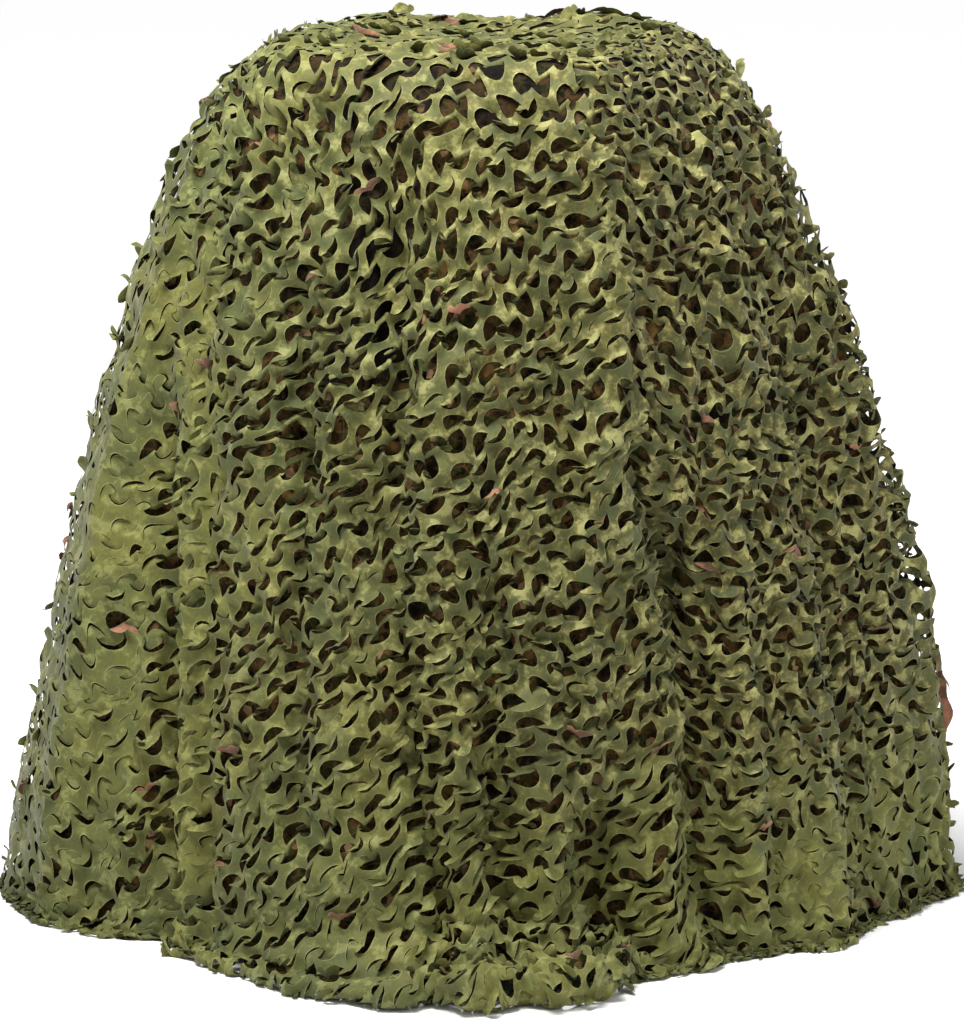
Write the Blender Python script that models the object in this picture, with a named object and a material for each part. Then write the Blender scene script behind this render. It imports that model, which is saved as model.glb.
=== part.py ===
"""A camouflage net draped over a tall, plain square table.

The net is one sheet. It lies on the table's board, bulges out over the board's edge like a stiff
dome and comes down to the floor, where its hem lies flat, with a pool of spare cloth at the front.
Below it, hidden, stands the table: a board on four legs with a rail between each two.

Bearings are degrees round the table's upright axis, from the front (-Y) towards the right (+X).
"""

import math

import bmesh
import bpy
import numpy as np

# Table, in metres.
TABLE_HEIGHT = 1.080
TABLE_SIDE = 0.390
BOARD_THICKNESS = 0.022
BOARD_CORNER = 0.045
BOARD_CORNER_STEPS = 4
LEG_SIDE = 0.036
LEG_INSET = 0.008
RAIL_HEIGHT = 0.060
RAIL_THICKNESS = 0.018
EDGE_ROUNDING = 0.003
FIT_GAP = 0.0003

# Net, in metres.
NET_THICKNESS = 0.003
EDGE_LIFT = 0.006
EDGE_OVERHANG = 0.010
CORNER_POWER = 6.0
BELL_POWER = 2.2
FLOOR_BAND = 0.35

# Mesh of the net.
COLUMNS = 90
BOARD_RINGS = (0.5, 0.85, 1.0)
WALL_ROWS = 18
WALL_CROWDING = 0.6
LIP_ROWS = 4

# The skirt's foot, a row for each bearing: where the wall reaches the floor cloth (foot), where
# the hem lies (hem), both as distances from the table's axis, and how high the cloth that lies
# between them stands where it leaves the wall (lip).
SKIRT = (
    # bearing, foot, hem, lip
    (-75.0, 0.607, 0.613, 0.010),
    (-60.0, 0.578, 0.588, 0.012),
    (-52.0, 0.505, 0.546, 0.030),
    (-44.0, 0.455, 0.492, 0.034),
    (-34.0, 0.452, 0.490, 0.040),
    (-22.0, 0.464, 0.507, 0.050),
    (-9.0, 0.468, 0.542, 0.064),
    (2.0, 0.466, 0.566, 0.074),
    (12.0, 0.462, 0.580, 0.078),
    (24.0, 0.452, 0.572, 0.078),
    (33.0, 0.440, 0.560, 0.068),
    (39.0, 0.440, 0.480, 0.024),
    (46.0, 0.450, 0.468, 0.012),
    (56.0, 0.448, 0.462, 0.010),
    (64.0, 0.470, 0.482, 0.010),
    (72.0, 0.512, 0.526, 0.010),
    (84.0, 0.512, 0.524, 0.010),
    (93.0, 0.556, 0.564, 0.010),
    (105.0, 0.607, 0.613, 0.010),
    (125.0, 0.582, 0.592, 0.010),
    (150.0, 0.520, 0.536, 0.012),
    (180.0, 0.500, 0.520, 0.014),
    (210.0, 0.520, 0.538, 0.012),
    (240.0, 0.578, 0.590, 0.010),
    (268.0, 0.605, 0.612, 0.010),
)

# The wall's main folds, a row for each: its bearing where it starts and where it ends, the heights
# of those two ends, its half width in degrees and how far it stands out (a ridge) or in (a valley).
FOLDS = (
    # bearing_up, bearing_down, height_up, height_down, half_width, stands_out
    (-44.0, -36.0, 1.07, 0.62, 8.0, 0.011),
    (-53.5, -42.5, 0.66, 0.04, 4.0, -0.026),
    (-46.5, -37.0, 0.72, 0.05, 3.6, 0.014),
    (-33.0, -27.0, 0.75, 0.10, 4.5, 0.008),
    (-26.0, -20.0, 0.84, 0.60, 3.8, -0.017),
    (-20.5, -15.0, 0.66, 0.14, 3.6, -0.018),
    (-4.5, -0.5, 1.00, 0.45, 3.6, -0.017),
    (0.0, 9.0, 0.46, 0.06, 3.6, -0.021),
    (2.8, 4.5, 0.84, 0.45, 3.6, 0.010),
    (8.0, 13.0, 0.45, 0.14, 3.8, 0.009),
    (15.8, 16.0, 0.52, 0.16, 4.2, -0.022),
    (15.0, 20.5, 0.24, 0.05, 3.8, -0.018),
    (23.0, 25.0, 0.40, 0.12, 4.5, 0.010),
    (33.0, 34.0, 0.22, 0.05, 6.5, -0.028),
    (40.0, 37.5, 1.07, 0.50, 6.5, 0.015),
    (43.0, 51.0, 0.64, 0.46, 4.5, -0.030),
    (51.0, 54.0, 0.52, 0.05, 5.0, -0.034),
    (63.5, 60.5, 0.66, 0.05, 5.0, 0.015),
    (69.0, 71.0, 0.60, 0.04, 4.2, -0.014),
    (76.0, 77.0, 0.50, 0.04, 4.0, 0.009),
    (84.0, 86.0, 0.75, 0.06, 6.0, -0.014),
    (-62.0, -60.0, 0.70, 0.08, 8.0, 0.010),
    (98.0, 99.0, 0.80, 0.12, 9.0, 0.020),
    (120.0, 118.0, 0.90, 0.04, 7.0, -0.026),
    (134.0, 136.0, 1.05, 0.04, 9.0, 0.022),
    (151.0, 150.0, 0.85, 0.04, 7.0, -0.034),
    (168.0, 166.0, 0.80, 0.04, 7.0, 0.020),
    (184.0, 183.0, 0.90, 0.04, 7.0, -0.030),
    (203.0, 201.0, 0.75, 0.04, 8.0, 0.016),
    (222.0, 226.0, 1.05, 0.04, 8.0, -0.022),
    (243.0, 244.0, 0.80, 0.04, 8.0, 0.018),
    (262.0, 260.0, 0.70, 0.06, 6.0, -0.018),
)
FOLD_FADE = 0.10

# Long soft humps of the net on the board: bearing, distance from the axis, half width, height.
HUMPS = (
    (152.0, 0.205, 0.055, 0.013),
    (225.0, 0.220, 0.035, 0.008),
    (270.0, 0.200, 0.050, 0.010),
    (20.0, 0.185, 0.040, 0.005),
)


def material(name, colour, roughness):
    """A plain Principled finish."""
    made = bpy.data.materials.new(name)
    made.use_nodes = True
    shader = made.node_tree.nodes["Principled BSDF"]
    shader.inputs["Base Color"].default_value = (*colour, 1.0)
    shader.inputs["Roughness"].default_value = roughness
    shader.inputs["Metallic"].default_value = 0.0
    return made


def node(name, points, faces, finish):
    """One named object from points and faces, in the scene's collection."""
    mesh = bpy.data.meshes.new(name)
    mesh.from_pydata([tuple(map(float, point)) for point in points], [], faces)
    mesh.validate()
    made = bpy.data.objects.new(name, mesh)
    mesh.materials.append(finish)
    bpy.context.scene.collection.objects.link(made)
    return made


def smooth_step(value):
    """0 below 0, 1 above 1, and a smooth rise between."""
    value = np.clip(value, 0.0, 1.0)
    return value * value * (3.0 - 2.0 * value)


def turn_between(first, second):
    """The signed angle in degrees from the second bearing to the first, within half a turn."""
    return (first - second + 180.0) % 360.0 - 180.0


def skirt_at(bearing):
    """Foot, hem and lip at each bearing, read smoothly between the rows of SKIRT."""
    rows = np.array(SKIRT)
    knots = np.concatenate([rows[-2:, 0] - 360.0, rows[:, 0], rows[:2, 0] + 360.0])
    place = (bearing + 90.0) % 360.0 - 90.0
    after = np.clip(np.searchsorted(knots, place, side="right"), 1, len(knots) - 1)
    share = smooth_step((place - knots[after - 1]) / (knots[after] - knots[after - 1]))
    found = []
    for column in (1, 2, 3):
        values = np.concatenate([rows[-2:, column], rows[:, column], rows[:2, column]])
        found.append(values[after - 1] * (1.0 - share) + values[after] * share)
    return found


def board_reach(bearing):
    """Distance from the axis to a rounded square a little larger than the board."""
    across = np.abs(np.sin(np.radians(bearing))) ** CORNER_POWER
    along = np.abs(np.cos(np.radians(bearing))) ** CORNER_POWER
    return (TABLE_SIDE / 2 + EDGE_OVERHANG) * (across + along) ** (-1.0 / CORNER_POWER)


def fold_reach(bearing, height):
    """How far the folds move the wall out at a bearing and height: a sum of soft bell shapes."""
    total = np.zeros(np.broadcast(bearing, height).shape)
    for start, end, upper, lower, half_width, stands_out in FOLDS:
        share = np.clip((upper - height) / (upper - lower), 0.0, 1.0)
        line = start + (end - start) * share
        across = np.exp(-((turn_between(bearing, line) / half_width) ** 2))
        inside = smooth_step((upper - height) / FOLD_FADE + 0.5)
        inside = inside * smooth_step((height - lower) / FOLD_FADE + 0.5)
        total = total + stands_out * across * inside
    return total


def board_lift(bearing, distance, edge):
    """Height of the net's underside over the board: seated in the middle, lifted at the edge."""
    lift = EDGE_LIFT * smooth_step((distance / edge - 0.5) / 0.5)
    x = distance * np.sin(np.radians(bearing))
    y = -distance * np.cos(np.radians(bearing))
    for hump_bearing, hump_distance, half_width, height in HUMPS:
        hump_x = hump_distance * math.sin(math.radians(hump_bearing))
        hump_y = -hump_distance * math.cos(math.radians(hump_bearing))
        away = np.hypot(x - hump_x, y - hump_y) / half_width
        lift = lift + height * np.exp(-(away**2))
    return lift


def net_surface():
    """The net's upper face as a grid of rows (centre to hem) by columns (round the table).

    On the board the grid follows the board's outline. On the wall the distance from the axis
    grows evenly with a share w while the height falls with w to the power BELL_POWER. The lip
    then runs out to the hem along half a cosine and ends flat on the floor.
    """
    bearing = np.arange(COLUMNS) * 360.0 / COLUMNS
    edge = board_reach(bearing)
    foot, hem, lip = skirt_at(bearing)
    seat = TABLE_HEIGHT + FIT_GAP + NET_THICKNESS
    distances, heights = [], []
    for share in BOARD_RINGS:
        distances.append(edge * share)
        heights.append(seat + board_lift(bearing, edge * share, edge))
    shoulder = heights[-1]
    for row in range(1, WALL_ROWS + 1):
        share = (row / WALL_ROWS) ** WALL_CROWDING
        height = shoulder - (shoulder - lip) * share**BELL_POWER
        distance = edge + (foot - edge) * share + fold_reach(bearing, height)
        distances.append(distance)
        heights.append(height)
    landing = distances[-1]
    for row in range(1, LIP_ROWS + 1):
        share = row / LIP_ROWS
        slope = np.clip(share / (1.0 - FLOOR_BAND), 0.0, 1.0)
        distances.append(landing + (hem - foot) * share)
        heights.append(NET_THICKNESS + (lip - NET_THICKNESS) * (1.0 + np.cos(np.pi * slope)) / 2)
    distance, height = np.array(distances), np.array(heights)
    angle = np.radians(bearing)[None, :]
    return np.stack([distance * np.sin(angle), -distance * np.cos(angle), height], axis=-1)


def underside(upper):
    """The upper face moved in by the net's thickness along its normals, no lower than the floor."""
    down = np.gradient(upper, axis=0)
    round_table = np.roll(upper, -1, axis=1) - np.roll(upper, 1, axis=1)
    normal = np.cross(down, round_table)
    normal /= np.linalg.norm(normal, axis=-1, keepdims=True)
    lower = upper - normal * NET_THICKNESS
    lower[-2:, :, :2] = upper[-2:, :, :2]
    lower[-2:, :, 2] = upper[-2:, :, 2] - NET_THICKNESS
    lower[: len(BOARD_RINGS), :, :2] = upper[: len(BOARD_RINGS), :, :2]
    lower[: len(BOARD_RINGS), :, 2] = upper[: len(BOARD_RINGS), :, 2] - NET_THICKNESS
    lower[..., 2] = np.maximum(lower[..., 2], 0.0)
    return lower


def net_faces(rows, columns):
    """Quads of both faces, the fans at the centre and the rim along the hem."""
    faces = []
    centre_up, centre_down = 2 * rows * columns, 2 * rows * columns + 1
    for column in range(columns):
        after = (column + 1) % columns
        faces.append((centre_up, column, after))
        faces.append((centre_down, rows * columns + after, rows * columns + column))
        for row in range(rows - 1):
            a, b = row * columns + column, row * columns + after
            c, d = a + columns, b + columns
            faces.append((a, c, d, b))
            below = rows * columns
            faces.append((a + below, b + below, d + below, c + below))
        a = (rows - 1) * columns + column
        b = (rows - 1) * columns + after
        faces.append((a, a + rows * columns, b + rows * columns, b))
    return faces


def make_net(upper, finish):
    """The whole net as one closed sheet."""
    lower = underside(upper)
    rows, columns = upper.shape[:2]
    seat = TABLE_HEIGHT + FIT_GAP
    axis = upper[0, :, :2].mean(axis=0)
    points = np.concatenate(
        [
            upper.reshape(-1, 3),
            lower.reshape(-1, 3),
            [(axis[0], axis[1], seat + NET_THICKNESS), (axis[0], axis[1], seat)],
        ]
    )
    made = node("net", points, net_faces(rows, columns), finish)
    made.data.shade_smooth()
    return made


def box(name, low, high, finish):
    """A board, leg or rail between two corners, with its edges rounded over."""
    low, high = np.array(low), np.array(high)
    points = [
        (x, y, z) for x in (low[0], high[0]) for y in (low[1], high[1]) for z in (low[2], high[2])
    ]
    faces = [(0, 1, 3, 2), (4, 6, 7, 5), (0, 4, 5, 1), (2, 3, 7, 6), (0, 2, 6, 4), (1, 5, 7, 3)]
    centre = (low + high) / 2
    made = node(name, np.array(points) - centre, faces, finish)
    made.location = centre
    rounding = made.modifiers.new("rounded edges", "BEVEL")
    rounding.width = EDGE_ROUNDING
    rounding.segments = 1
    return made


def round_corners(made, radius, steps):
    """Rounds the four upright edges of a board."""
    shape = bmesh.new()
    shape.from_mesh(made.data)
    upright = [
        edge for edge in shape.edges if abs(edge.verts[0].co.z - edge.verts[1].co.z) > 1e-4
    ]
    bmesh.ops.bevel(shape, geom=upright, offset=radius, segments=steps, profile=0.5, affect="EDGES")
    shape.to_mesh(made.data)
    shape.free()


def make_table(axis_x, axis_y, finish):
    """Board, four legs and four rails, each a separate piece."""
    half = TABLE_SIDE / 2
    under = TABLE_HEIGHT - BOARD_THICKNESS
    board = box(
        "table_board",
        (axis_x - half, axis_y - half, under),
        (axis_x + half, axis_y + half, TABLE_HEIGHT),
        finish,
    )
    round_corners(board, BOARD_CORNER, BOARD_CORNER_STEPS)
    outer = half - LEG_INSET
    inner = outer - LEG_SIDE
    top = under - FIT_GAP
    for side_x, word_x in ((-1, "left"), (1, "right")):
        for side_y, word_y in ((-1, "front"), (1, "back")):
            xs = sorted((axis_x + side_x * inner, axis_x + side_x * outer))
            ys = sorted((axis_y + side_y * inner, axis_y + side_y * outer))
            box(f"leg_{word_y}_{word_x}", (xs[0], ys[0], 0.0), (xs[1], ys[1], top), finish)
    reach = inner - FIT_GAP
    near = outer - (LEG_SIDE - RAIL_THICKNESS) / 2 - RAIL_THICKNESS
    far = near + RAIL_THICKNESS
    low = top - RAIL_HEIGHT
    for side, word in ((-1, "front"), (1, "back")):
        ys = sorted((axis_y + side * near, axis_y + side * far))
        box(f"rail_{word}", (axis_x - reach, ys[0], low), (axis_x + reach, ys[1], top), finish)
    for side, word in ((-1, "left"), (1, "right")):
        xs = sorted((axis_x + side * near, axis_x + side * far))
        box(f"rail_{word}", (xs[0], axis_y - reach, low), (xs[1], axis_y + reach, top), finish)


def main():
    for old in list(bpy.data.objects):
        bpy.data.objects.remove(old, do_unlink=True)
    upper = net_surface()
    spread = upper.reshape(-1, 3)
    middle = (spread.min(axis=0) + spread.max(axis=0)) / 2
    middle[2] = 0.0
    cloth = material("net cloth", (0.105, 0.112, 0.040), 0.75)
    wood = material("pale wood", (0.55, 0.38, 0.22), 0.55)
    make_net(upper - middle, cloth)
    make_table(-middle[0], -middle[1], wood)


main()
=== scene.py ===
# %% [markdown]
# A camouflage net over a tall table
#
# The real thing is a thin woven sheet, die-cut with thousands of curved slits so that it can be
# pulled open like lace. It is thrown over a table and falls to the floor as a wide dome. This
# lesson builds it from outside in: camera and light, the shape the cloth hangs in, the pattern of
# cuts laid on that shape, the darker layer inside, then the finishes.
#
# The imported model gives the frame: the table's solids stay as they are, and the net's solid is
# replaced by real cut cloth that hangs on the same surface.

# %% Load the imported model
import math
from collections import namedtuple

import bpy
import numpy as np
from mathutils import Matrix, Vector


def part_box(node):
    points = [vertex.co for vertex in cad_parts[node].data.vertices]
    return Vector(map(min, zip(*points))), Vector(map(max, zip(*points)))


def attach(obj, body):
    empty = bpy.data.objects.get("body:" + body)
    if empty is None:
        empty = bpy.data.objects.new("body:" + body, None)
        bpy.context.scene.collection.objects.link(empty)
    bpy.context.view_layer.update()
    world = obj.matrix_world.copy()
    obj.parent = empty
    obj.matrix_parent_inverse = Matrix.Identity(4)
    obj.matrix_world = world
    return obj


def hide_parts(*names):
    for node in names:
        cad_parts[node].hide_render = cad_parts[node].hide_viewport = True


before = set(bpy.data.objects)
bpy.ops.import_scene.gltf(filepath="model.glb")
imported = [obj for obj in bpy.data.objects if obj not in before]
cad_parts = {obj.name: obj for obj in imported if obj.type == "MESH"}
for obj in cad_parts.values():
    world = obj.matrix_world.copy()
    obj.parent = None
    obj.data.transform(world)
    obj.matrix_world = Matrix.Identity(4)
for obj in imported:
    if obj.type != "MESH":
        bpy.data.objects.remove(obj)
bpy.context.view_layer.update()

board_low, board_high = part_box("table_board")
AXIS_X = (board_low[0] + board_high[0]) / 2
AXIS_Y = (board_low[1] + board_high[1]) / 2
print("table axis", round(AXIS_X, 4), round(AXIS_Y, 4))

# %% [markdown]
# Camera
#
# The dome is seen from a little right of its front and from above table height, through a long
# lens, so that upright folds stay upright. The camera is placed by plain numbers: how far it
# stands from the table's axis, at what bearing and height, and the height it looks at.

# %% Place the camera
CAMERA_BEARING = 14.4
CAMERA_DISTANCE = 7.0
CAMERA_HEIGHT = 1.92
LOOK_HEIGHT = 0.490
LENS = 199.3


def aim(thing, start, target):
    """Stands a camera or lamp at start and turns its -Z axis towards target."""
    thing.location = start
    way = Vector(target) - Vector(start)
    thing.rotation_euler = way.to_track_quat("-Z", "Y").to_euler()


def round_axis(bearing, distance, height):
    """A place at a bearing (degrees from the front towards the right) round the table's axis."""
    turn = math.radians(bearing)
    return (
        AXIS_X + distance * math.sin(turn),
        AXIS_Y - distance * math.cos(turn),
        height,
    )


camera_data = bpy.data.cameras.new("camera")
camera_data.sensor_fit = "VERTICAL"
camera_data.sensor_height = 36.0
camera_data.lens = LENS
camera = bpy.data.objects.new("camera", camera_data)
bpy.context.scene.collection.objects.link(camera)
aim(camera, round_axis(CAMERA_BEARING, CAMERA_DISTANCE, CAMERA_HEIGHT), (AXIS_X, AXIS_Y, LOOK_HEIGHT))
bpy.context.scene.camera = camera
print("camera", CAMERA_DISTANCE, "m away at bearing", CAMERA_BEARING)

# %% [markdown]
# Light and floor
#
# Such goods are shown in a white room: light from everywhere, one large soft source high over the front
# so that folds still read, and a weak low one for the right side. The floor is a plain pale sheet and
# isn't part of the object.

# %% Light the room and lay the floor
ROOM_LIGHT = 0.50
KEY_SIZE = 1.3
KEY_POWER = 162.0
KEY_PLACE = round_axis(-10.0, 1.02, 3.08)
KEY_TARGET = (AXIS_X, AXIS_Y, 0.6)
KEY_COLOUR = (1.0, 0.99, 0.96)
FILL_SIZE = 1.6
FILL_POWER = 11.0
FILL_PLACE = round_axis(80.0, 2.6, 0.8)
FILL_TARGET = (AXIS_X, AXIS_Y, 0.2)
FLOOR_HALF = 40.0
FLOOR_DROP = 0.0005

scene = bpy.context.scene
scene.view_settings.view_transform = "Standard"
room = bpy.data.worlds.new("pale room")
room.use_nodes = True
walls = room.node_tree.nodes["Background"]
walls.inputs["Color"].default_value = (1.0, 1.0, 1.0, 1.0)
walls.inputs["Strength"].default_value = ROOM_LIGHT
scene.world = room


def soft_lamp(name, size, power, start, target, colour=(1.0, 1.0, 1.0)):
    """A square area lamp of that size in metres and power in watts."""
    lamp = bpy.data.lights.new(name, "AREA")
    lamp.shape = "SQUARE"
    lamp.size = size
    lamp.energy = power
    lamp.color = colour
    made = bpy.data.objects.new(name, lamp)
    scene.collection.objects.link(made)
    aim(made, start, target)


soft_lamp("key", KEY_SIZE, KEY_POWER, KEY_PLACE, KEY_TARGET, KEY_COLOUR)
soft_lamp("fill", FILL_SIZE, FILL_POWER, FILL_PLACE, FILL_TARGET)

floor_corners = [
    (x * FLOOR_HALF, y * FLOOR_HALF, -FLOOR_DROP) for x, y in ((-1, -1), (1, -1), (1, 1), (-1, 1))
]
floor_mesh = bpy.data.meshes.new("floor")
floor_mesh.from_pydata(floor_corners, [], [(0, 1, 2, 3)])
floor = bpy.data.objects.new("floor", floor_mesh)
scene.collection.objects.link(floor)
print("key lamp at", [round(v, 2) for v in KEY_PLACE], "room light", ROOM_LIGHT)

# %% [markdown]
# The shape the cloth hangs in
#
# The sheet lies on the board, bulges out over its edge and comes down to the floor, where spare
# cloth pools at the front. Each point of it is named by a bearing round the table and a place
# along the run from the board's middle to the hem. The same few tables as in the solid model set
# where the foot and the hem lie and where the big folds run; a second table adds the small
# creases that only a finished surface needs.

# %% Numbers of the drape
TABLE_HEIGHT = 1.080
TABLE_SIDE = 0.390
FIT_GAP = 0.0003
NET_THICKNESS = 0.003

# the cloth lifts at the board's edge and stands a little past it, round a squarish outline
EDGE_LIFT = 0.006
LIFT_FROM = 0.5
EDGE_OVERHANG = 0.010
CORNER_POWER = 6.0

# the wall's curve, how its rows crowd, and the outer share of the lip that lies flat
BELL_POWER = 2.2
WALL_CROWDING = 0.6
FLOOR_BAND = 0.35

SKIRT = (
    # bearing, foot, hem, lip
    (-75.0, 0.607, 0.613, 0.010),
    (-60.0, 0.578, 0.588, 0.012),
    (-52.0, 0.505, 0.546, 0.030),
    (-44.0, 0.455, 0.492, 0.034),
    (-34.0, 0.452, 0.490, 0.040),
    (-22.0, 0.464, 0.507, 0.050),
    (-9.0, 0.468, 0.542, 0.064),
    (2.0, 0.466, 0.566, 0.074),
    (12.0, 0.462, 0.580, 0.078),
    (24.0, 0.452, 0.572, 0.078),
    (33.0, 0.440, 0.560, 0.068),
    (39.0, 0.440, 0.480, 0.024),
    (46.0, 0.450, 0.468, 0.012),
    (56.0, 0.448, 0.462, 0.010),
    (64.0, 0.470, 0.482, 0.010),
    (72.0, 0.512, 0.526, 0.010),
    (84.0, 0.512, 0.524, 0.010),
    (93.0, 0.556, 0.564, 0.010),
    (105.0, 0.607, 0.613, 0.010),
    (125.0, 0.582, 0.592, 0.010),
    (150.0, 0.520, 0.536, 0.012),
    (180.0, 0.500, 0.520, 0.014),
    (210.0, 0.520, 0.538, 0.012),
    (240.0, 0.578, 0.590, 0.010),
    (268.0, 0.605, 0.612, 0.010),
)

FOLDS = (
    # bearing_up, bearing_down, height_up, height_down, half_width, stands_out
    (-44.0, -36.0, 1.07, 0.62, 8.0, 0.011),
    (-53.5, -42.5, 0.66, 0.04, 4.0, -0.026),
    (-46.5, -37.0, 0.72, 0.05, 3.6, 0.014),
    (-33.0, -27.0, 0.75, 0.10, 4.5, 0.008),
    (-26.0, -20.0, 0.84, 0.60, 3.8, -0.017),
    (-20.5, -15.0, 0.66, 0.14, 3.6, -0.018),
    (-4.5, -0.5, 1.00, 0.45, 3.6, -0.017),
    (0.0, 9.0, 0.46, 0.06, 3.6, -0.021),
    (2.8, 4.5, 0.84, 0.45, 3.6, 0.010),
    (8.0, 13.0, 0.45, 0.14, 3.8, 0.009),
    (15.8, 16.0, 0.52, 0.16, 4.2, -0.022),
    (15.0, 20.5, 0.24, 0.05, 3.8, -0.018),
    (23.0, 25.0, 0.40, 0.12, 4.5, 0.010),
    (33.0, 34.0, 0.22, 0.05, 6.5, -0.028),
    (40.0, 37.5, 1.07, 0.50, 6.5, 0.015),
    (43.0, 51.0, 0.64, 0.46, 4.5, -0.030),
    (51.0, 54.0, 0.52, 0.05, 5.0, -0.034),
    (63.5, 60.5, 0.66, 0.05, 5.0, 0.015),
    (69.0, 71.0, 0.60, 0.04, 4.2, -0.014),
    (76.0, 77.0, 0.50, 0.04, 4.0, 0.009),
    (84.0, 86.0, 0.75, 0.06, 6.0, -0.014),
    (-62.0, -60.0, 0.70, 0.08, 8.0, 0.010),
    (98.0, 99.0, 0.80, 0.12, 9.0, 0.020),
    (120.0, 118.0, 0.90, 0.04, 7.0, -0.026),
    (134.0, 136.0, 1.05, 0.04, 9.0, 0.022),
    (151.0, 150.0, 0.85, 0.04, 7.0, -0.034),
    (168.0, 166.0, 0.80, 0.04, 7.0, 0.020),
    (184.0, 183.0, 0.90, 0.04, 7.0, -0.030),
    (203.0, 201.0, 0.75, 0.04, 8.0, 0.016),
    (222.0, 226.0, 1.05, 0.04, 8.0, -0.022),
    (243.0, 244.0, 0.80, 0.04, 8.0, 0.018),
    (262.0, 260.0, 0.70, 0.06, 6.0, -0.018),
)
FOLD_FADE = 0.10
CREASE_FADE = 0.05

CREASES = (
    # the same columns as FOLDS, for the small creases
    (-51.5, -41.5, 0.58, 0.03, 2.4, -0.027),
    (-22.0, -16.0, 0.74, 0.18, 1.8, -0.010),
    (-1.5, 3.0, 0.90, 0.25, 1.8, -0.010),
    (15.8, 17.0, 0.50, 0.10, 2.2, -0.010),
    (44.5, 51.5, 0.60, 0.45, 2.4, -0.016),
    (51.5, 54.0, 0.52, 0.03, 2.6, -0.024),
    (39.0, 39.0, 1.00, 0.60, 2.4, 0.008),
    (34.0, 35.0, 0.20, 0.03, 5.0, -0.026),
    (2.0, 9.0, 0.30, 0.04, 1.6, -0.016),
    (14.5, 20.5, 0.24, 0.04, 1.6, -0.015),
    (-3.0, -1.5, 0.90, 0.60, 1.5, -0.009),
    (-57.5, -47.5, 0.58, 0.03, 1.8, -0.007),
    (-48.0, -38.5, 0.60, 0.04, 1.5, 0.015),
    (-43.0, -33.0, 0.66, 0.05, 1.8, -0.008),
    (-30.0, -24.0, 0.95, 0.62, 2.0, 0.007),
    (-23.0, -11.0, 0.60, 0.12, 1.8, 0.006),
    (-14.0, -12.0, 0.98, 0.70, 2.2, -0.006),
    (-9.0, -6.0, 0.96, 0.66, 1.8, 0.005),
    (-9.0, -3.0, 0.66, 0.20, 2.0, -0.007),
    (12.0, 12.0, 0.95, 0.55, 2.0, -0.006),
    (20.0, 19.5, 0.90, 0.30, 2.2, 0.007),
    (27.0, 28.0, 0.80, 0.30, 2.2, -0.009),
    (33.0, 30.5, 0.62, 0.20, 2.0, 0.009),
    (45.5, 48.0, 1.00, 0.66, 2.2, -0.009),
    (47.0, 45.0, 0.40, 0.05, 1.8, 0.010),
    (52.0, 57.0, 0.98, 0.60, 2.2, 0.007),
    (57.0, 57.0, 0.50, 0.03, 2.0, -0.008),
    (66.0, 65.5, 0.45, 0.02, 1.8, -0.008),
    (73.0, 73.5, 0.45, 0.02, 1.8, 0.008),
    (80.0, 80.5, 0.40, 0.02, 1.8, -0.008),
    (90.0, 91.0, 0.60, 0.06, 2.4, -0.008),
)

HUMPS = (
    # bearing, distance, half_width, height
    (152.0, 0.205, 0.055, 0.013),
    (225.0, 0.220, 0.035, 0.008),
    (270.0, 0.200, 0.050, 0.010),
    (20.0, 0.185, 0.040, 0.005),
)
print(len(SKIRT), "rows round the foot,", len(FOLDS), "folds,", len(CREASES), "creases")

# %% [markdown]
# Reading the tables
#
# Real folds have no corners, so nothing here is read with straight steps. The foot, hem and lip
# pass from row to row with a smooth step, and each fold is a bell across its own slanting line,
# faded in at its top and out at its foot. Adding the bells up gives the whole wall at once.

# %% Read the tables at any bearing
TINY = 1e-6
LEAST_LENGTH = 1e-9


def smooth_step(value):
    """0 below 0, 1 above 1, and the smooth rise 3v^2 - 2v^3 between."""
    value = np.clip(value, 0.0, 1.0)
    return value * value * (3.0 - 2.0 * value)


def turn_between(first, second):
    """The signed angle in degrees from the second bearing to the first, within half a turn."""
    return (first - second + 180.0) % 360.0 - 180.0


def skirt_at(bearing):
    """Foot, hem and lip at each bearing, read with a smooth step between the rows of SKIRT."""
    rows = np.array(SKIRT)
    knots = np.concatenate([rows[-2:, 0] - 360.0, rows[:, 0], rows[:2, 0] + 360.0])
    place = (bearing + 90.0) % 360.0 - 90.0
    after = np.clip(np.searchsorted(knots, place, side="right"), 1, len(knots) - 1)
    share = smooth_step((place - knots[after - 1]) / (knots[after] - knots[after - 1]))
    found = []
    for column in (1, 2, 3):
        values = np.concatenate([rows[-2:, column], rows[:, column], rows[:2, column]])
        found.append(values[after - 1] * (1.0 - share) + values[after] * share)
    return found


def board_reach(bearing):
    """Distance to a rounded square: half side times (|sin|^6 + |cos|^6)^(-1/6)."""
    across = np.abs(np.sin(np.radians(bearing))) ** CORNER_POWER
    along = np.abs(np.cos(np.radians(bearing))) ** CORNER_POWER
    return (TABLE_SIDE / 2 + EDGE_OVERHANG) * (across + along) ** (-1.0 / CORNER_POWER)


def fold_reach(bearing, height, table, fade=FOLD_FADE):
    """Sum of stands_out times exp(-(angle / half_width)^2), faded in and out along each fold."""
    total = np.zeros(np.broadcast(bearing, height).shape)
    for start, end, upper, lower, half_width, stands_out in table:
        share = np.clip((upper - height) / (upper - lower), 0.0, 1.0)
        line = start + (end - start) * share
        across = np.exp(-((turn_between(bearing, line) / half_width) ** 2))
        inside = smooth_step((upper - height) / fade + 0.5)
        inside = inside * smooth_step((height - lower) / fade + 0.5)
        total = total + stands_out * across * inside
    return total


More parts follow.
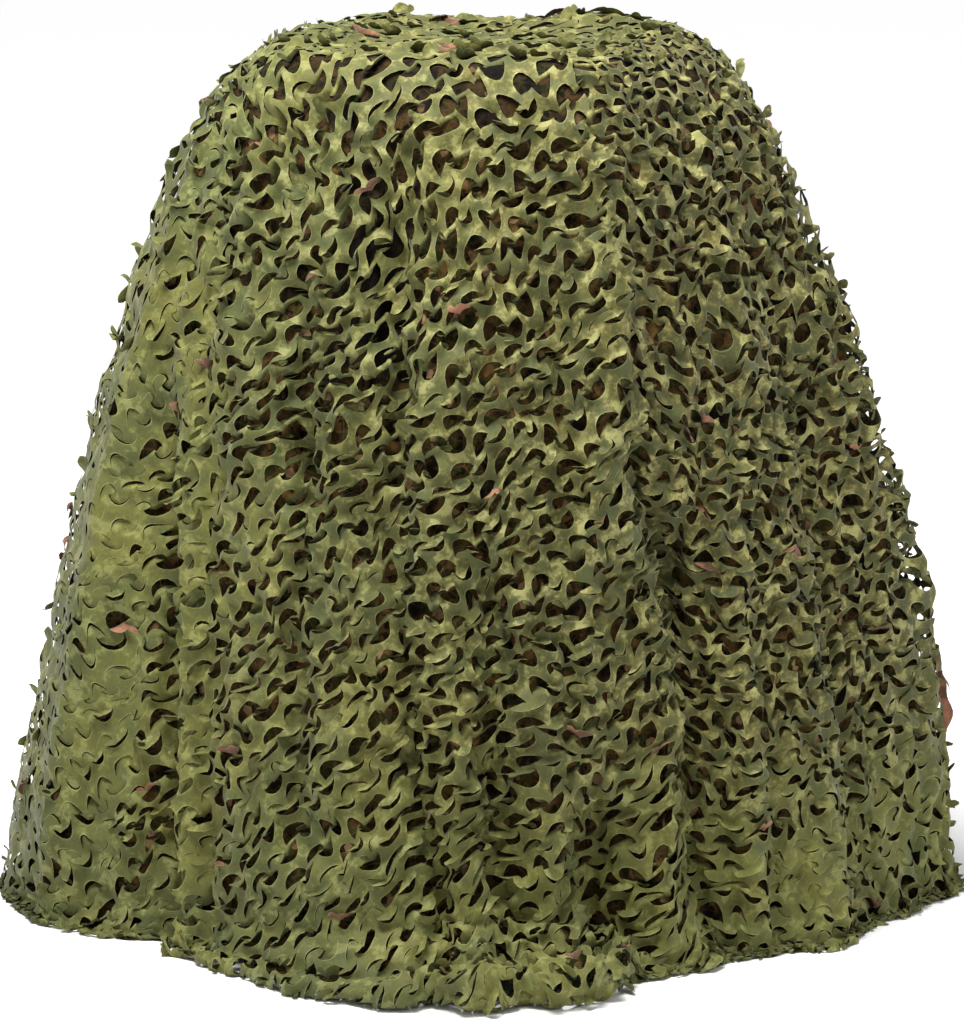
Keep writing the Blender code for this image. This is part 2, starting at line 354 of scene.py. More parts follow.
def board_lift(x, y, reach_share):
    """Height of the cloth over the board: seated in the middle, lifted at the edge, and humps."""
    lift = EDGE_LIFT * smooth_step((reach_share - LIFT_FROM) / (1.0 - LIFT_FROM))
    for bearing, distance, half_width, height in HUMPS:
        away_x = x - distance * math.sin(math.radians(bearing))
        away_y = y + distance * math.cos(math.radians(bearing))
        lift = lift + height * np.exp(-(np.hypot(away_x, away_y) / half_width) ** 2)
    return lift


print("foot, hem and lip in front:", [round(float(value), 3) for value in skirt_at(0.0)])

# %% [markdown]
# A fine grid of the drape
#
# Everything on the net is laid by looking up this grid, so the maths of the folds runs once. Rows
# go from the board's middle down the wall, over the lip and, at the hem, round a roll where the
# cloth turns under itself; columns go round the table. Beside each point the grid keeps the way
# that the surface faces and the run of cloth from the board's edge.

# %% Work out the grid
GRID_COLUMNS = 1440
BOARD_ROWS = 24
WALL_ROWS = 300
LIP_ROWS = 50
ROLL_ROWS = 30

# spans of bearings: start, fade, end, fade
POOL_SPAN = (-42.0, 25.0, 39.0, 4.0)
THICK_SPAN = (-4.0, 16.0, 40.0, 4.0)

# radius of the roll everywhere, what the pool adds, what its thick end adds, and its lumps
ROLL_SLIGHT = 0.0022
ROLL_POOL = 0.0080
ROLL_THICK = 0.0150
ROLL_LUMPS = ((0.18, 31.0), (0.14, 53.0))

# the roll's turn, the least length tucked under, and the pleats along it
ROLL_TURN = 1.25 * math.pi
TUCK_RADII = 3.0
LEAST_TUCK = 0.012
PLEAT = 0.16
PLEAT_TURNS = 3.2
PLEAT_SWAY = 2.2

# from this radius on the pool counts as thick; there a groove and ripples run along it
THICK_FROM = 0.010
THICK_RANGE = 0.012
LEAST_DROP = 0.002
SWAY = ((0.5, 11.0), (0.4, 23.0))
GROOVE_AT = 0.60
GROOVE_SWAY = 0.05
GROOVE_HALF = 0.13
GROOVE_DEPTH = 0.022
RIPPLE_COUNT = 3.0
RIPPLE_SWAY = 0.35
RIPPLE_THIN = 0.003
RIPPLE_THICK = 0.005


def shares(rows):
    """How far along a stretch each of its rows ends, as a column from 1 / rows to 1."""
    return (np.arange(1, rows + 1) / rows)[:, None]


def within(bearing, start, start_fade, end, end_fade):
    """1 inside a span of bearings and 0 outside, with a smooth step at each end."""
    return smooth_step((bearing - start) / start_fade) * smooth_step((end - bearing) / end_fade)


def wave_sum(bearing, parts):
    """Sum of strength times sin(count times the bearing)."""
    return sum(strength * np.sin(np.radians(bearing * count)) for strength, count in parts)


def hem_roll(bearing):
    """Radius of the roll at the hem: thick along the front pool, slight elsewhere."""
    pool = ROLL_POOL * within(bearing, *POOL_SPAN)
    thick = ROLL_THICK * within(bearing, *THICK_SPAN) * (1.0 + wave_sum(bearing, ROLL_LUMPS))
    return ROLL_SLIGHT + pool + thick


def board_part(bearing, edge):
    """Distance and height on the board: out in even steps, at the board's top plus the lift."""
    share = shares(BOARD_ROWS)
    distance = edge * share
    turn = np.radians(bearing)
    seat = TABLE_HEIGHT + FIT_GAP + NET_THICKNESS
    height = seat + board_lift(distance * np.sin(turn), -distance * np.cos(turn), share)
    return distance, height


def wall_part(bearing, edge, foot, lip, shoulder):
    """Distance and height down the wall: it falls as share^BELL_POWER, and folds push it out."""
    share = shares(WALL_ROWS) ** WALL_CROWDING
    height = shoulder - (shoulder - lip) * share**BELL_POWER
    distance = edge + (foot - edge) * share + fold_reach(bearing, height, FOLDS)
    return distance + fold_reach(bearing, height, CREASES, CREASE_FADE), height


def lip_part(start, reach, lip, roll, thick, sway):
    """Distance and height over the lip: half a cosine down to the floor, groove and ripples."""
    share = shares(LIP_ROWS)
    slope = np.clip(share / (1.0 - FLOOR_BAND), 0.0, 1.0)
    low = NET_THICKNESS / 2 + 2 * roll
    drop = np.maximum(lip, low + LEAST_DROP) - low
    groove = np.exp(-(((share - GROOVE_AT - GROOVE_SWAY * sway) / GROOVE_HALF) ** 2))
    phase = RIPPLE_COUNT * share + RIPPLE_SWAY * sway
    ripples = np.sin(2 * np.pi * phase) * np.sin(np.pi * share)
    height = low + drop * (1.0 + np.cos(np.pi * slope)) / 2 - thick * GROOVE_DEPTH * groove
    height = height + (RIPPLE_THIN + RIPPLE_THICK * thick) * ripples
    return start + reach * share, np.maximum(height, NET_THICKNESS)


def roll_part(start, roll, thick, sway):
    """Distance and height round the roll: half a circle, then straight in under the cloth."""
    angle = ROLL_TURN * shares(ROLL_ROWS)
    turned = np.minimum(angle, np.pi)
    tuck = (angle - turned) / (ROLL_TURN - np.pi) * np.maximum(TUCK_RADII * roll, LEAST_TUCK)
    pleat = np.sin(PLEAT_TURNS * turned + PLEAT_SWAY * sway) * np.sin(turned)
    distance = start + roll * (1.0 + PLEAT * thick * pleat) * np.sin(turned) - tuck
    height = NET_THICKNESS / 2 + 2 * roll - roll * (1.0 - np.cos(turned))
    return distance, height


def drape_grid():
    """Points of the drape as rows by columns by x, y, z, measured from the table's axis."""
    bearing = (np.arange(GRID_COLUMNS) * 360.0 / GRID_COLUMNS)[None, :] - 180.0
    edge = board_reach(bearing)
    foot, hem, lip = skirt_at(bearing)
    roll = hem_roll(bearing)
    thick = smooth_step((roll - THICK_FROM) / THICK_RANGE)
    sway = wave_sum(bearing, SWAY)
    board = board_part(bearing, edge)
    wall = wall_part(bearing, edge, foot, lip, board[1][-1:])
    over_lip = lip_part(wall[0][-1:], hem - foot - roll, lip, roll, thick, sway)
    under = roll_part(over_lip[0][-1:], roll, thick, sway)
    distance, height = (np.concatenate(parts) for parts in zip(board, wall, over_lip, under))
    turn = np.radians(bearing)
    return np.stack([distance * np.sin(turn), -distance * np.cos(turn), height], axis=-1)


def unit(vectors):
    """Vectors scaled to length 1."""
    return vectors / np.maximum(np.linalg.norm(vectors, axis=-1, keepdims=True), LEAST_LENGTH)


GRID = drape_grid()
down_way = np.gradient(GRID, axis=0)
round_way = np.roll(GRID, -1, axis=1) - np.roll(GRID, 1, axis=1)
GRID_NORMAL = unit(np.cross(down_way, round_way))
steps_down = np.linalg.norm(np.diff(GRID, axis=0, prepend=GRID[:1]), axis=-1)
GRID_RUN = np.cumsum(steps_down, axis=0)
GRID_RUN -= GRID_RUN[BOARD_ROWS - 1]
GRID_STEP = np.gradient(GRID_RUN, axis=0)
steps_round = np.linalg.norm(np.roll(GRID, -1, axis=1) - GRID, axis=-1)
front_run = GRID_RUN[-1, GRID_COLUMNS // 2]
print("drape grid", GRID.shape, "run down the front", round(float(front_run), 3))

# %% [markdown]
# Looking places up
#
# A grid of numbers becomes a smooth surface once any place between its points can be read. The
# four points around the place are mixed by how near they are, first round the table and then
# down, which is what a texture does with its pixels, and costs one line for each.

# %% Look places up
TABLE_SPARE = 0.001


def read_plane(table, row, column):
    """Reads a table between its rows and columns, straight-line both ways."""
    row = np.clip(row, 0.0, table.shape[0] - 1 - TABLE_SPARE)
    column = np.clip(column, 0.0, table.shape[1] - 1 - TABLE_SPARE)
    row_at, column_at = row.astype(int), column.astype(int)
    down, side = row - row_at, column - column_at
    if table.ndim == 3:
        down, side = down[..., None], side[..., None]
    upper = table[row_at, column_at] * (1 - side) + table[row_at, column_at + 1] * side
    lower = table[row_at + 1, column_at] * (1 - side) + table[row_at + 1, column_at + 1] * side
    return upper * (1 - down) + lower * down


def look_up(table, row, bearing):
    """Reads a grid table at a row and a bearing; its first column is also its last."""
    return read_plane(table, row, ((bearing + 180.0) % 360.0) * GRID_COLUMNS / 360.0)


def close_round(table):
    """The table with its first column added again at its end."""
    return np.concatenate([table, table[:, :1]], axis=1)


POINT_TABLE, NORMAL_TABLE = close_round(GRID), close_round(GRID_NORMAL)
RUN_TABLE, STEP_TABLE = close_round(GRID_RUN), close_round(GRID_STEP)
middle_row = np.array([BOARD_ROWS + WALL_ROWS / 2])
print("half way down the front:", look_up(POINT_TABLE, middle_row, np.array([0.0])).round(3))

# %% [markdown]
# Soft randomness
#
# Cloth is never quite even. A sum of plane waves with random directions and phases, all drawn
# from a seeded generator, gives a smooth uneven value at any point, and the same one each run.

# %% Uneven values from plane waves
def uneven(points, wavelength, seed, waves=14):
    """Sum of sines over random directions: around 0 with a spread of 1, waves of that length."""
    draw = np.random.default_rng(seed)
    ways = unit(draw.normal(size=(waves, points.shape[-1])))
    lengths = wavelength * draw.uniform(0.7, 1.5, waves)
    phases = draw.uniform(0.0, 2 * np.pi, waves)
    total = np.zeros(points.shape[:-1])
    for way, length, phase in zip(ways, lengths, phases):
        total += np.sin(points @ way * (2 * np.pi / length) + phase)
    return total / math.sqrt(waves / 2)


trial = uneven(np.random.default_rng(1).uniform(size=(500, 3)), 0.1, 1)
print("uneven values run from", trial.min().round(2), "to", trial.max().round(2))

# %% [markdown]
# The pattern of cuts
#
# The cutter makes rows of S-shaped cuts. Each S frees two round flaps, one over the row's line and
# one under it, half a step along; its middle stroke runs along the line and parts the two. Between
# one S and the next a narrow strip stays whole, and the flaps hinge on it. Between two such rows
# runs a broad wavy ribbon. Laid flat, one repeat is a square that holds one S, which is why the
# mesh is a short list of columns and rows, copied by adding whole repeats.

# %% One repeat of the pattern, laid flat
PITCH = 0.027

# the rest is in pitches
REPEAT = math.sqrt(2.0)
FLAP_HALF = 0.55
FLAP_HEIGHT = 0.47
STRIP_HALF = 0.064
FREE_SLOPE = 0.85
FLAP_ROWS = 3
RIBBON_ROWS = 3

GAP_HALF = REPEAT / 2 - FLAP_HALF
ARC_RADIUS = (FLAP_HALF**2 + FLAP_HEIGHT**2) / (2 * FLAP_HEIGHT)


def arc_height(x):
    """Height of the arc over its chord: a circle through both ends, 0 beyond them."""
    under = np.maximum(ARC_RADIUS**2 - x**2, 0.0)
    inside = np.abs(x) < FLAP_HALF - TINY
    return np.where(inside, np.sqrt(under) - (ARC_RADIUS - FLAP_HEIGHT), 0.0)


def pattern_columns():
    """Where the columns stand along one repeat: close together where an arc is steep."""
    ease = (1.0 - np.cos(np.pi * np.arange(4) / 4)) / 2
    slope = GAP_HALF + (FLAP_HALF - GAP_HALF) * ease
    half = np.concatenate([[-GAP_HALF, 0.0], slope])
    return np.concatenate([half, half + REPEAT / 2, [REPEAT - GAP_HALF]])


def grid_quads(rows, columns):
    """Corner numbers of the quads of a rows by columns grid, anticlockwise from above."""
    numbers = np.arange(rows * columns).reshape(rows, columns)
    return np.stack(
        [numbers[:-1, :-1], numbers[:-1, 1:], numbers[1:, 1:], numbers[1:, :-1]], axis=-1
    ).reshape(-1, 4)


def one_repeat():
    """Corners and quads of one repeat.

    Each corner is x, y, side (0 web, 1 upper flap, -1 lower flap), reach up the flap and the
    height its bend is measured from. Past the end of its hinge a flap is free, and that height
    drops away at FREE_SLOPE, so the free corner swings out further.
    """
    x = pattern_columns()
    stroke_start, stroke_end = 2, 6
    corners, quads, count = [], [], 0

    def add(xs, ys, side, reach, hinge):
        nonlocal count
        shape = np.broadcast(xs, ys, side, reach, hinge).shape
        block = np.stack(
            [np.broadcast_to(part, shape) for part in (xs, ys, side, reach, hinge)], axis=-1
        )
        corners.append(block.reshape(-1, 5))
        quads.append(grid_quads(*shape) + count)
        count += block.size // 5

    strip = np.array([[-STRIP_HALF], [STRIP_HALF]])
    add(x[None, : stroke_start + 1], strip, 0.0, 0.0, 0.0)
    add(x[None, stroke_end:], strip, 0.0, 0.0, 0.0)
    share = np.linspace(0.0, 1.0, RIBBON_ROWS + 1)[:, None]
    lower = STRIP_HALF + arc_height(x) + arc_height(x - REPEAT)
    upper = REPEAT - STRIP_HALF - arc_height(x - REPEAT / 2)
    add(x[None, :], lower * (1 - share) + upper * share, 0.0, 0.0, 0.0)
    reach = np.linspace(0.0, 1.0, FLAP_ROWS + 1)[:, None]
    flap = x[stroke_start:] - REPEAT / 2
    is_free = flap > GAP_HALF + TINY
    base = np.where(is_free, 0.0, STRIP_HALF)
    hinge = np.where(is_free, -FREE_SLOPE * (flap - GAP_HALF), STRIP_HALF)
    flap_y = base * (1 - reach) + (STRIP_HALF + arc_height(flap)) * reach
    add(flap[None, :], flap_y, 1.0, reach, hinge)
    add(REPEAT / 2 - flap[None, :], -flap_y, -1.0, reach, -hinge)
    return np.concatenate(corners), np.concatenate(quads)


REPEAT_CORNERS, REPEAT_QUADS = one_repeat()
print("one repeat:", len(REPEAT_QUADS), "faces for two flaps")

# %% [markdown]
# Panels
#
# Where a square sheet falls over a square table, the spare cloth at the corners is tucked away
# and the sheet reads as a few broad panels, each with its own way of the cuts. A panel is a range
# of bearings, the slope of its strips, and how far it is stretched sideways and down. Each laps a
# little under its neighbour, which hides where one pattern stops and the next one starts.

# %% Lay the pattern on a panel
LAP = 0.016
LEVEL_ROWS = 50

# metres from a panel's middle line at which its bearings are listed
SIDE_REACH = 0.6
SIDE_STEPS = 481
SIDES = np.linspace(-SIDE_REACH, SIDE_REACH, SIDE_STEPS)

# bearings of the left and right side at the board and at the floor, 1 for a side that lies under
# its neighbour, slope of the strips in degrees, stretch across and down, whether the panel runs on
# over the board, metres that it gathers, share of the tan print at its left and right
Plan = namedtuple("Plan", "left right lapped slope stretch on_board gather tan")
PANELS = {
    "net_left": Plan(
        (-135.0, -112.0), (-51.0, -37.0), (0, 1), 50.0, (0.86, 0.93), False, 0.0, (0.0, 0.0)
    ),
    "net_front": Plan(
        (-51.0, -37.0), (38.0, 52.0), (0, 0), 50.0, (0.90, 0.96), True, 0.0, (0.0, 0.5)
    ),
    "net_right": Plan(
        (38.0, 52.0), (112.0, 108.0), (1, 0), 2.0, (0.74, 0.88), False, 0.0042, (0.6, 0.6)
    ),
    "net_back_right": Plan(
        (112.0, 108.0), (182.0, 180.0), (1, 0), 50.0, (1.0, 1.05), False, 0.001, (0.2, 0.2)
    ),
    "net_back_left": Plan(
        (182.0, 180.0), (225.0, 248.0), (1, 1), 140.0, (1.0, 1.05), False, 0.001, (0.2, 0.2)
    ),
}


def level(steps):
    """Mean of each row's steps with as many rows above as below, up to LEVEL_ROWS each way.

    A short fold then stretches the cuts on it and doesn't push the whole pattern sideways.
    """
    rows = np.arange(len(steps))
    half = np.clip(np.minimum(rows - BOARD_ROWS + 1, len(steps) - 1 - rows), 0, LEVEL_ROWS)
    total = np.cumsum(np.pad(steps, ((1, 0), (0, 0))), axis=0)
    return (total[rows + half + 1] - total[rows - half]) / (2 * half + 1)[:, None]


def panel_tables(left, right):
    """For a panel: its mean run at each row, and its bearing at each row and step of SIDES."""
    middle = (left[1] + right[1]) / 2
    bearing = np.arange(GRID_COLUMNS) * 360.0 / GRID_COLUMNS - 180.0
    inside = np.abs(turn_between(bearing, middle)) < (right[1] - left[1]) / 2
    run = GRID_RUN[:, inside].mean(axis=1)
    start = int(round(((middle + 180.0) % 360.0) * GRID_COLUMNS / 360.0))
    half_round = GRID_COLUMNS // 2
    order = np.arange(-half_round, half_round)
    across = np.cumsum(level(steps_round[:, (start + order) % GRID_COLUMNS]), axis=1)
    across = across - across[:, half_round][:, None]
    turned = order * 360.0 / GRID_COLUMNS
    return run, np.stack([np.interp(SIDES, line, turned) for line in across]) + middle


print("panels:", ", ".join(PANELS))

# %% [markdown]
# How far the cuts stand open
#
# Where the cloth hangs slack the flaps stay shut and show as thin dark crescents. Where it is
# pulled, they curl inwards and leave bean-shaped holes. A table of soft round patches says how
# open the net is; each flap then draws its own bend from a seeded generator, so a few lift
# outwards and a very few fold right over and show the brown back.

# %% Table of openness
OPENNESS = (
    # bearing, height, reach in degrees, reach in metres, openness there, strength
    (0.0, 0.90, 40.0, 0.35, 0.80, 1.0),
    (-9.5, 0.83, 8.0, 0.14, 1.00, 7.0),
    (-30.0, 0.85, 22.0, 0.20, 0.62, 1.2),
    (-62.0, 0.97, 24.0, 0.09, 0.58, 3.0),
    (-68.0, 0.80, 22.0, 0.09, 0.12, 3.0),
    (-86.0, 0.88, 12.0, 0.12, 0.50, 3.0),
    (-75.0, 0.45, 22.0, 0.40, 0.05, 4.0),
    (-58.0, 0.55, 8.0, 0.22, 0.12, 3.0),
    (-58.0, 0.20, 8.0, 0.16, 0.06, 4.0),
    (-30.0, 0.50, 12.0, 0.20, 0.58, 1.2),
    (-22.0, 0.20, 16.0, 0.14, 0.56, 2.0),
    (8.0, 0.50, 20.0, 0.22, 0.78, 1.8),
    (36.0, 0.55, 8.0, 0.20, 0.62, 1.0),
    (10.0, 0.18, 18.0, 0.10, 0.70, 1.8),
    (-30.0, 0.04, 17.0, 0.06, 0.11, 8.0),
    (14.0, 0.03, 20.0, 0.05, 0.28, 8.0),
    (60.0, 0.70, 30.0, 0.35, 0.74, 1.8),
    (60.0, 0.32, 25.0, 0.16, 0.70, 1.8),
    (50.0, 0.09, 12.0, 0.10, 0.48, 3.5),
    (78.0, 0.06, 15.0, 0.16, 0.07, 8.0),
    (102.0, 0.05, 14.0, 0.14, 0.12, 6.0),
    (95.0, 0.60, 20.0, 0.50, 0.76, 1.2),
    (-98.0, 0.50, 18.0, 0.50, 0.15, 3.0),
    (-54.0, 0.01, 7.0, 0.03, 0.80, 12.0),
    (-50.0, 0.46, 3.2, 0.12, 0.66, 5.0),
    (-46.5, 0.28, 3.2, 0.12, 0.78, 6.0),
    (-44.0, 0.12, 4.0, 0.08, 0.72, 6.0),
    (-43.0, 0.42, 3.0, 0.14, 0.18, 3.0),
    (-39.0, 0.18, 3.5, 0.12, 0.16, 3.0),
    (0.0, 1.07, 90.0, 0.07, 0.84, 3.0),
    (160.0, 0.60, 40.0, 0.45, 0.60, 1.0),
    (230.0, 0.55, 40.0, 0.50, 0.40, 1.0),
)


LOOSE = (
    # the same columns, for the share of flaps that stick out
    (0.0, 0.55, 200.0, 2.00, 0.06, 1.0),
    (15.0, 0.45, 18.0, 0.35, 0.54, 2.0),
    (10.0, 0.18, 36.0, 0.16, 0.56, 4.0),
    (60.0, 0.50, 25.0, 0.40, 0.44, 2.0),
    (62.0, 0.16, 20.0, 0.16, 0.52, 5.0),
    (-70.0, 0.92, 16.0, 0.16, 0.30, 3.0),
    (-75.0, 0.45, 20.0, 0.30, 0.01, 3.0),
    (0.0, 1.09, 90.0, 0.03, 0.10, 4.0),
)

# how much more open the net is for each metre that a fold runs inward
FOLD_SHARE = 11.0


LIFTS = (
    # bearing, height, reach in degrees, reach in metres, metres that the net stands off there
    (104.0, 0.43, 8.0, 0.13, 0.014),
    (96.0, 0.86, 7.0, 0.10, 0.006),
    (-74.0, 0.10, 6.0, 0.10, 0.007),
    (-70.0, 0.90, 9.0, 0.14, 0.005),
)


def bell(bearing, height, at, high, reach, tall):
    """A soft patch round a bearing and a height: exp of minus its squared distance."""
    return np.exp(-((turn_between(bearing, at) / reach) ** 2) - ((height - high) / tall) ** 2)


def read_patches(table, bearing, height):
    """Weighted mean of the patches: each weighs strength times a soft bell of its reach."""
    total, weight = 0.0, TINY
    for at, high, reach, tall, value, strength in table:
        share = strength * bell(bearing, height, at, high, reach, tall)
        total, weight = total + value * share, weight + share
    return total / weight


top_left = read_patches(OPENNESS, -62.0, 0.97)
print("open at the upper left:", round(float(top_left), 2), "with", len(OPENNESS), "patches")

# %% [markdown]
# From the flat pattern to the drape
#
# Hung cloth never keeps its rows straight: it turns round where it is pinched, sags at the top
# edge, and creeps unevenly. So the flat pattern is first pushed about in its own plane. Then each
# place is carried to the drape by how far it is from the panel's middle line and how far down,
# both measured along the cloth, so that the cuts keep their size however the folds run.

# %% Surface of a panel
SWIRLS = (
    # panel, middle across, middle up, reach, degrees
    ("net_front", -0.16, -0.10, 0.20, 28.0),
    ("net_front", 0.10, -0.12, 0.13, -12.0),
    ("net_front", 0.24, -1.00, 0.26, -22.0),
    ("net_left", -0.05, -0.55, 0.20, 15.0),
    ("net_right", 0.05, -0.60, 0.20, 12.0),
)
TOP_PULL = 0.030
TOP_REACH = 0.10

# uneven creep: metres, length of its waves, seed; the second pair is for each unit of loose cloth
CREEP_ACROSS = ((0.0055, 0.17, 11), (0.0026, 0.060, 12))
CREEP_UP = ((0.0055, 0.16, 13), (0.0026, 0.060, 14))
LOOSE_ACROSS = ((0.0018, 0.050, 15),)
LOOSE_UP = ((0.0020, 0.055, 16),)
LOOSE_PER_GATHER = 260.0

# how the row of a place is searched, where a side panel starts, and how far it laps the board
RUN_TRIES = 7
TRY_SHARE = 0.8
TRY_ROWS = 8.0
LEAST_STEP = 2e-4
SIDE_START = 0.37
TOP_LAP = 0.034

# on the board: half the range of bearings, least depth, and metres that a whole share stands for
BOARD_HALF_TURN = 46.0
LEAST_DEPTH = 0.02
BOARD_ROOM = 0.3
BOARD_SPARE = 0.002

# metres of room where a side doesn't count
ROOMY = 1.0

Place = namedtuple("Place", "point normal bearing run flat room_up")


def creep(place, parts):
    """Sum of uneven pushes at each place on the cloth."""
    return sum(metres * uneven(place, wavelength, seed) for metres, wavelength, seed in parts)


def lay_out(plan, name, x, y):
    """Flat pattern coordinates to the panel's: turned, stretched, swirled and pulled at the top.

    A swirl turns the cloth about its middle by an angle that fades as exp(-(r / reach)^2). The
    pull adds TOP_PULL times tanh(up / TOP_REACH), so cuts are longest where the net leaves the
    board and carries its own weight.
    """
    slope = math.radians(plan.slope)
    across = PITCH * plan.stretch[0] * (math.cos(slope) * x - math.sin(slope) * y)
    up = PITCH * plan.stretch[1] * (math.sin(slope) * x + math.cos(slope) * y)
    for panel, middle_across, middle_up, reach, degrees in SWIRLS:
        if panel == name:
            from_across, from_up = across - middle_across, up - middle_up
            turn = math.radians(degrees) * np.exp(-(from_across**2 + from_up**2) / reach**2)
            across = middle_across + np.cos(turn) * from_across - np.sin(turn) * from_up
            up = middle_up + np.sin(turn) * from_across + np.cos(turn) * from_up
    up = up + TOP_PULL * np.tanh(up / TOP_REACH)
    place = np.stack([across, up], axis=-1)
    across = across + creep(place, CREEP_ACROSS)
    up = up + creep(place, CREEP_UP)
    loose = LOOSE_PER_GATHER * plan.gather
    across = across + loose * creep(place, LOOSE_ACROSS)
    up = up + loose * creep(place, LOOSE_UP)
    return across, up


class Panel:
    """One panel's way from pattern coordinates to places on the drape."""

    def __init__(self, name):
        self.name = name
        self.plan = PANELS[name]
        self.run, self.bearings = panel_tables(self.plan.left, self.plan.right)

    def surface(self, x, y):
        """The place of each pattern coordinate: its row is moved until the run there fits."""
        across, up = lay_out(self.plan, self.name, x, y)
        run = -up + (0.0 if self.plan.on_board else SIDE_START)
        row = np.interp(run, self.run, np.arange(len(self.run)))
        side = (across - SIDES[0]) / (SIDES[1] - SIDES[0])
        bearing = read_plane(self.bearings, row, side)
        for _ in range(RUN_TRIES):
            short = run - look_up(RUN_TABLE, row, bearing)
            step = np.maximum(look_up(STEP_TABLE, row, bearing), LEAST_STEP)
            move = np.clip(TRY_SHARE * short / step, -TRY_ROWS, TRY_ROWS)
            row = np.clip(row + move, 0.0, len(GRID) - 1.0)
            bearing = read_plane(self.bearings, row, side)
        flat = np.stack([across, up], axis=-1)
        if self.plan.on_board:
            return self.over_the_edge(side, row, bearing, run, flat)
        point = look_up(POINT_TABLE, row, bearing)
        normal = unit(look_up(NORMAL_TABLE, row, bearing))
        return Place(point, normal, bearing, run, flat, run + TOP_LAP)

    def over_the_edge(self, side, row, bearing, run, flat):
        """The same for a panel that runs on over the board, straight back from the front edge."""
        seat_row = np.full_like(row, BOARD_ROWS - 1.0)
        edge_bearing = read_plane(self.bearings, seat_row, side)
        edge = look_up(POINT_TABLE, seat_row, edge_bearing)
        over = run < 0.0
        deep = np.where(over, -run, 0.0)
        x, y = edge[..., 0], edge[..., 1] + deep
        board_bearing = np.degrees(np.arctan2(x, -y))
        board_row = np.hypot(x, y) / board_reach(board_bearing) * BOARD_ROWS - 1.0
        bearing = np.where(over, board_bearing, bearing)
        row = np.where(over, board_row, row)
        point = look_up(POINT_TABLE, row, bearing)
        point[..., 0] = np.where(over, x, point[..., 0])
        point[..., 1] = np.where(over, y, point[..., 1])
        normal = unit(look_up(NORMAL_TABLE, row, bearing))
        depth = deep / np.maximum(-2.0 * edge[..., 1], LEAST_DEPTH)
        aside = np.where(over, np.abs(edge_bearing) / BOARD_HALF_TURN, 0.0)
        room_up = np.minimum(1.0 - depth, 1.0 - aside) * BOARD_ROOM + BOARD_SPARE
        return Place(point, normal, bearing, run, flat, room_up)

    def inside(self, place):
        """Metres to the panel's nearest side, and to its left and right: below 0 is outside."""
        left_side, right_side = self.plan.left, self.plan.right
        height = np.clip(place.point[..., 2] / TABLE_HEIGHT, 0.0, 1.0)
        left = left_side[1] + (left_side[0] - left_side[1]) * height
        right = right_side[1] + (right_side[0] - right_side[1]) * height
        from_middle = turn_between(place.bearing, (left + right) / 2)
        half = (right - left) / 2
        metres = np.radians(1.0) * np.hypot(place.point[..., 0], place.point[..., 1])
        room_left = (from_middle + half) * metres + LAP * self.plan.lapped[0]
        room_right = (half - from_middle) * metres + LAP * self.plan.lapped[1]
        room_down = look_up(RUN_TABLE, np.full_like(place.run, len(GRID)), place.bearing) - place.run
        if self.plan.on_board:
            room_left = np.where(place.run < 0.0, ROOMY, room_left)
            room_right = np.where(place.run < 0.0, ROOMY, room_right)
        room = np.minimum.reduce([room_left, room_right, room_down, place.room_up])
        return room, room_left, room_right


start = Panel("net_front").surface(np.zeros(1), np.zeros(1))
print("the front panel starts at", start.point[0].round(3))

# %% [markdown]
# Bending the flaps
#
# A flap turns about its hinge and curls evenly on the way to its tip. With a starting angle a and
# a curl of k per metre, the point at distance d along the flap stands (sin(a + kd) - sin a) / k
# along the surface and (cos a - cos(a + kd)) / k off it: a piece of a circle.

# %% Draw each flap's bend
BENDS = (
    # rows: folded over, inward, outward, slack; angles in radians
    # start angle with what openness and chance add; curl with what chance and rolling up add;
    # what the curl is multiplied by where the net is shut, and what openness adds to that
    (1.30, 0.00, 0.50, 1.20, 0.60, 0.0, 1.0, 0.0),
    (-0.15, -0.75, -0.72, -0.10, -0.70, -1.3, 1.0, 0.0),
    (0.10, 0.00, 0.70, 0.15, 1.10, 0.0, 1.0, 0.0),
    (-0.02, 0.00, -0.10, -0.10, -0.34, 0.0, 0.6, 0.8),
)
FOLDED, INWARD, OUTWARD, SLACK = range(4)
FOLDED_SHARE = 0.012
INWARD_SHARE = (-0.02, 1.20)
MOST_BENT = 0.985
OUTWARD_SHARE = (0.05, 0.10)
LOWER_LOOSE = 1.5
UPPER_LOOSE = 0.15
ROLLED_FROM = 0.62
TWIST = (0.25, 0.5)


def draw_bends(openness, loose, side, seed):
    """Start angle, total curl, twist and whether the back shows, for each flap.

    Each flap draws a kind: folded over, inward, outward or slack. The more open the net, the more
    flaps turn inward; the looser it is, the more stand out, and lower flaps more than upper ones.
    """
    draw = np.random.default_rng(seed)
    kind = draw.uniform(size=openness.shape)
    first, second, third = draw.uniform(size=(3, *openness.shape))
    outward = OUTWARD_SHARE[0] + OUTWARD_SHARE[1] * openness
    outward = outward + loose * np.where(side < 0, LOWER_LOOSE, UPPER_LOOSE)
    inward = INWARD_SHARE[0] + INWARD_SHARE[1] * openness
    inward = np.clip(inward, 0.0, MOST_BENT - outward)
    bounds = [kind > 1.0 - FOLDED_SHARE, kind < inward, kind < inward + outward]
    chosen = np.select(bounds, [FOLDED, INWARD, OUTWARD], SLACK)
    at, by_open, by_chance, curl, curl_chance, rolled, grown, grown_open = np.array(BENDS)[chosen].T
    start = at + by_open * openness + by_chance * first
    curl = curl + curl_chance * second + rolled * (second > ROLLED_FROM)
    curl = curl * (grown + grown_open * openness)
    twist = (third - 0.5) * (TWIST[0] + TWIST[1] * openness)
    return start, curl, twist, (chosen == FOLDED).astype(float)


trial = draw_bends(np.full(1000, 0.8), np.full(1000, 0.1), np.ones(1000), 1)
print("of 1000 flaps on open net", int((trial[0] > 0.0).sum()), "bend outward or fold over")

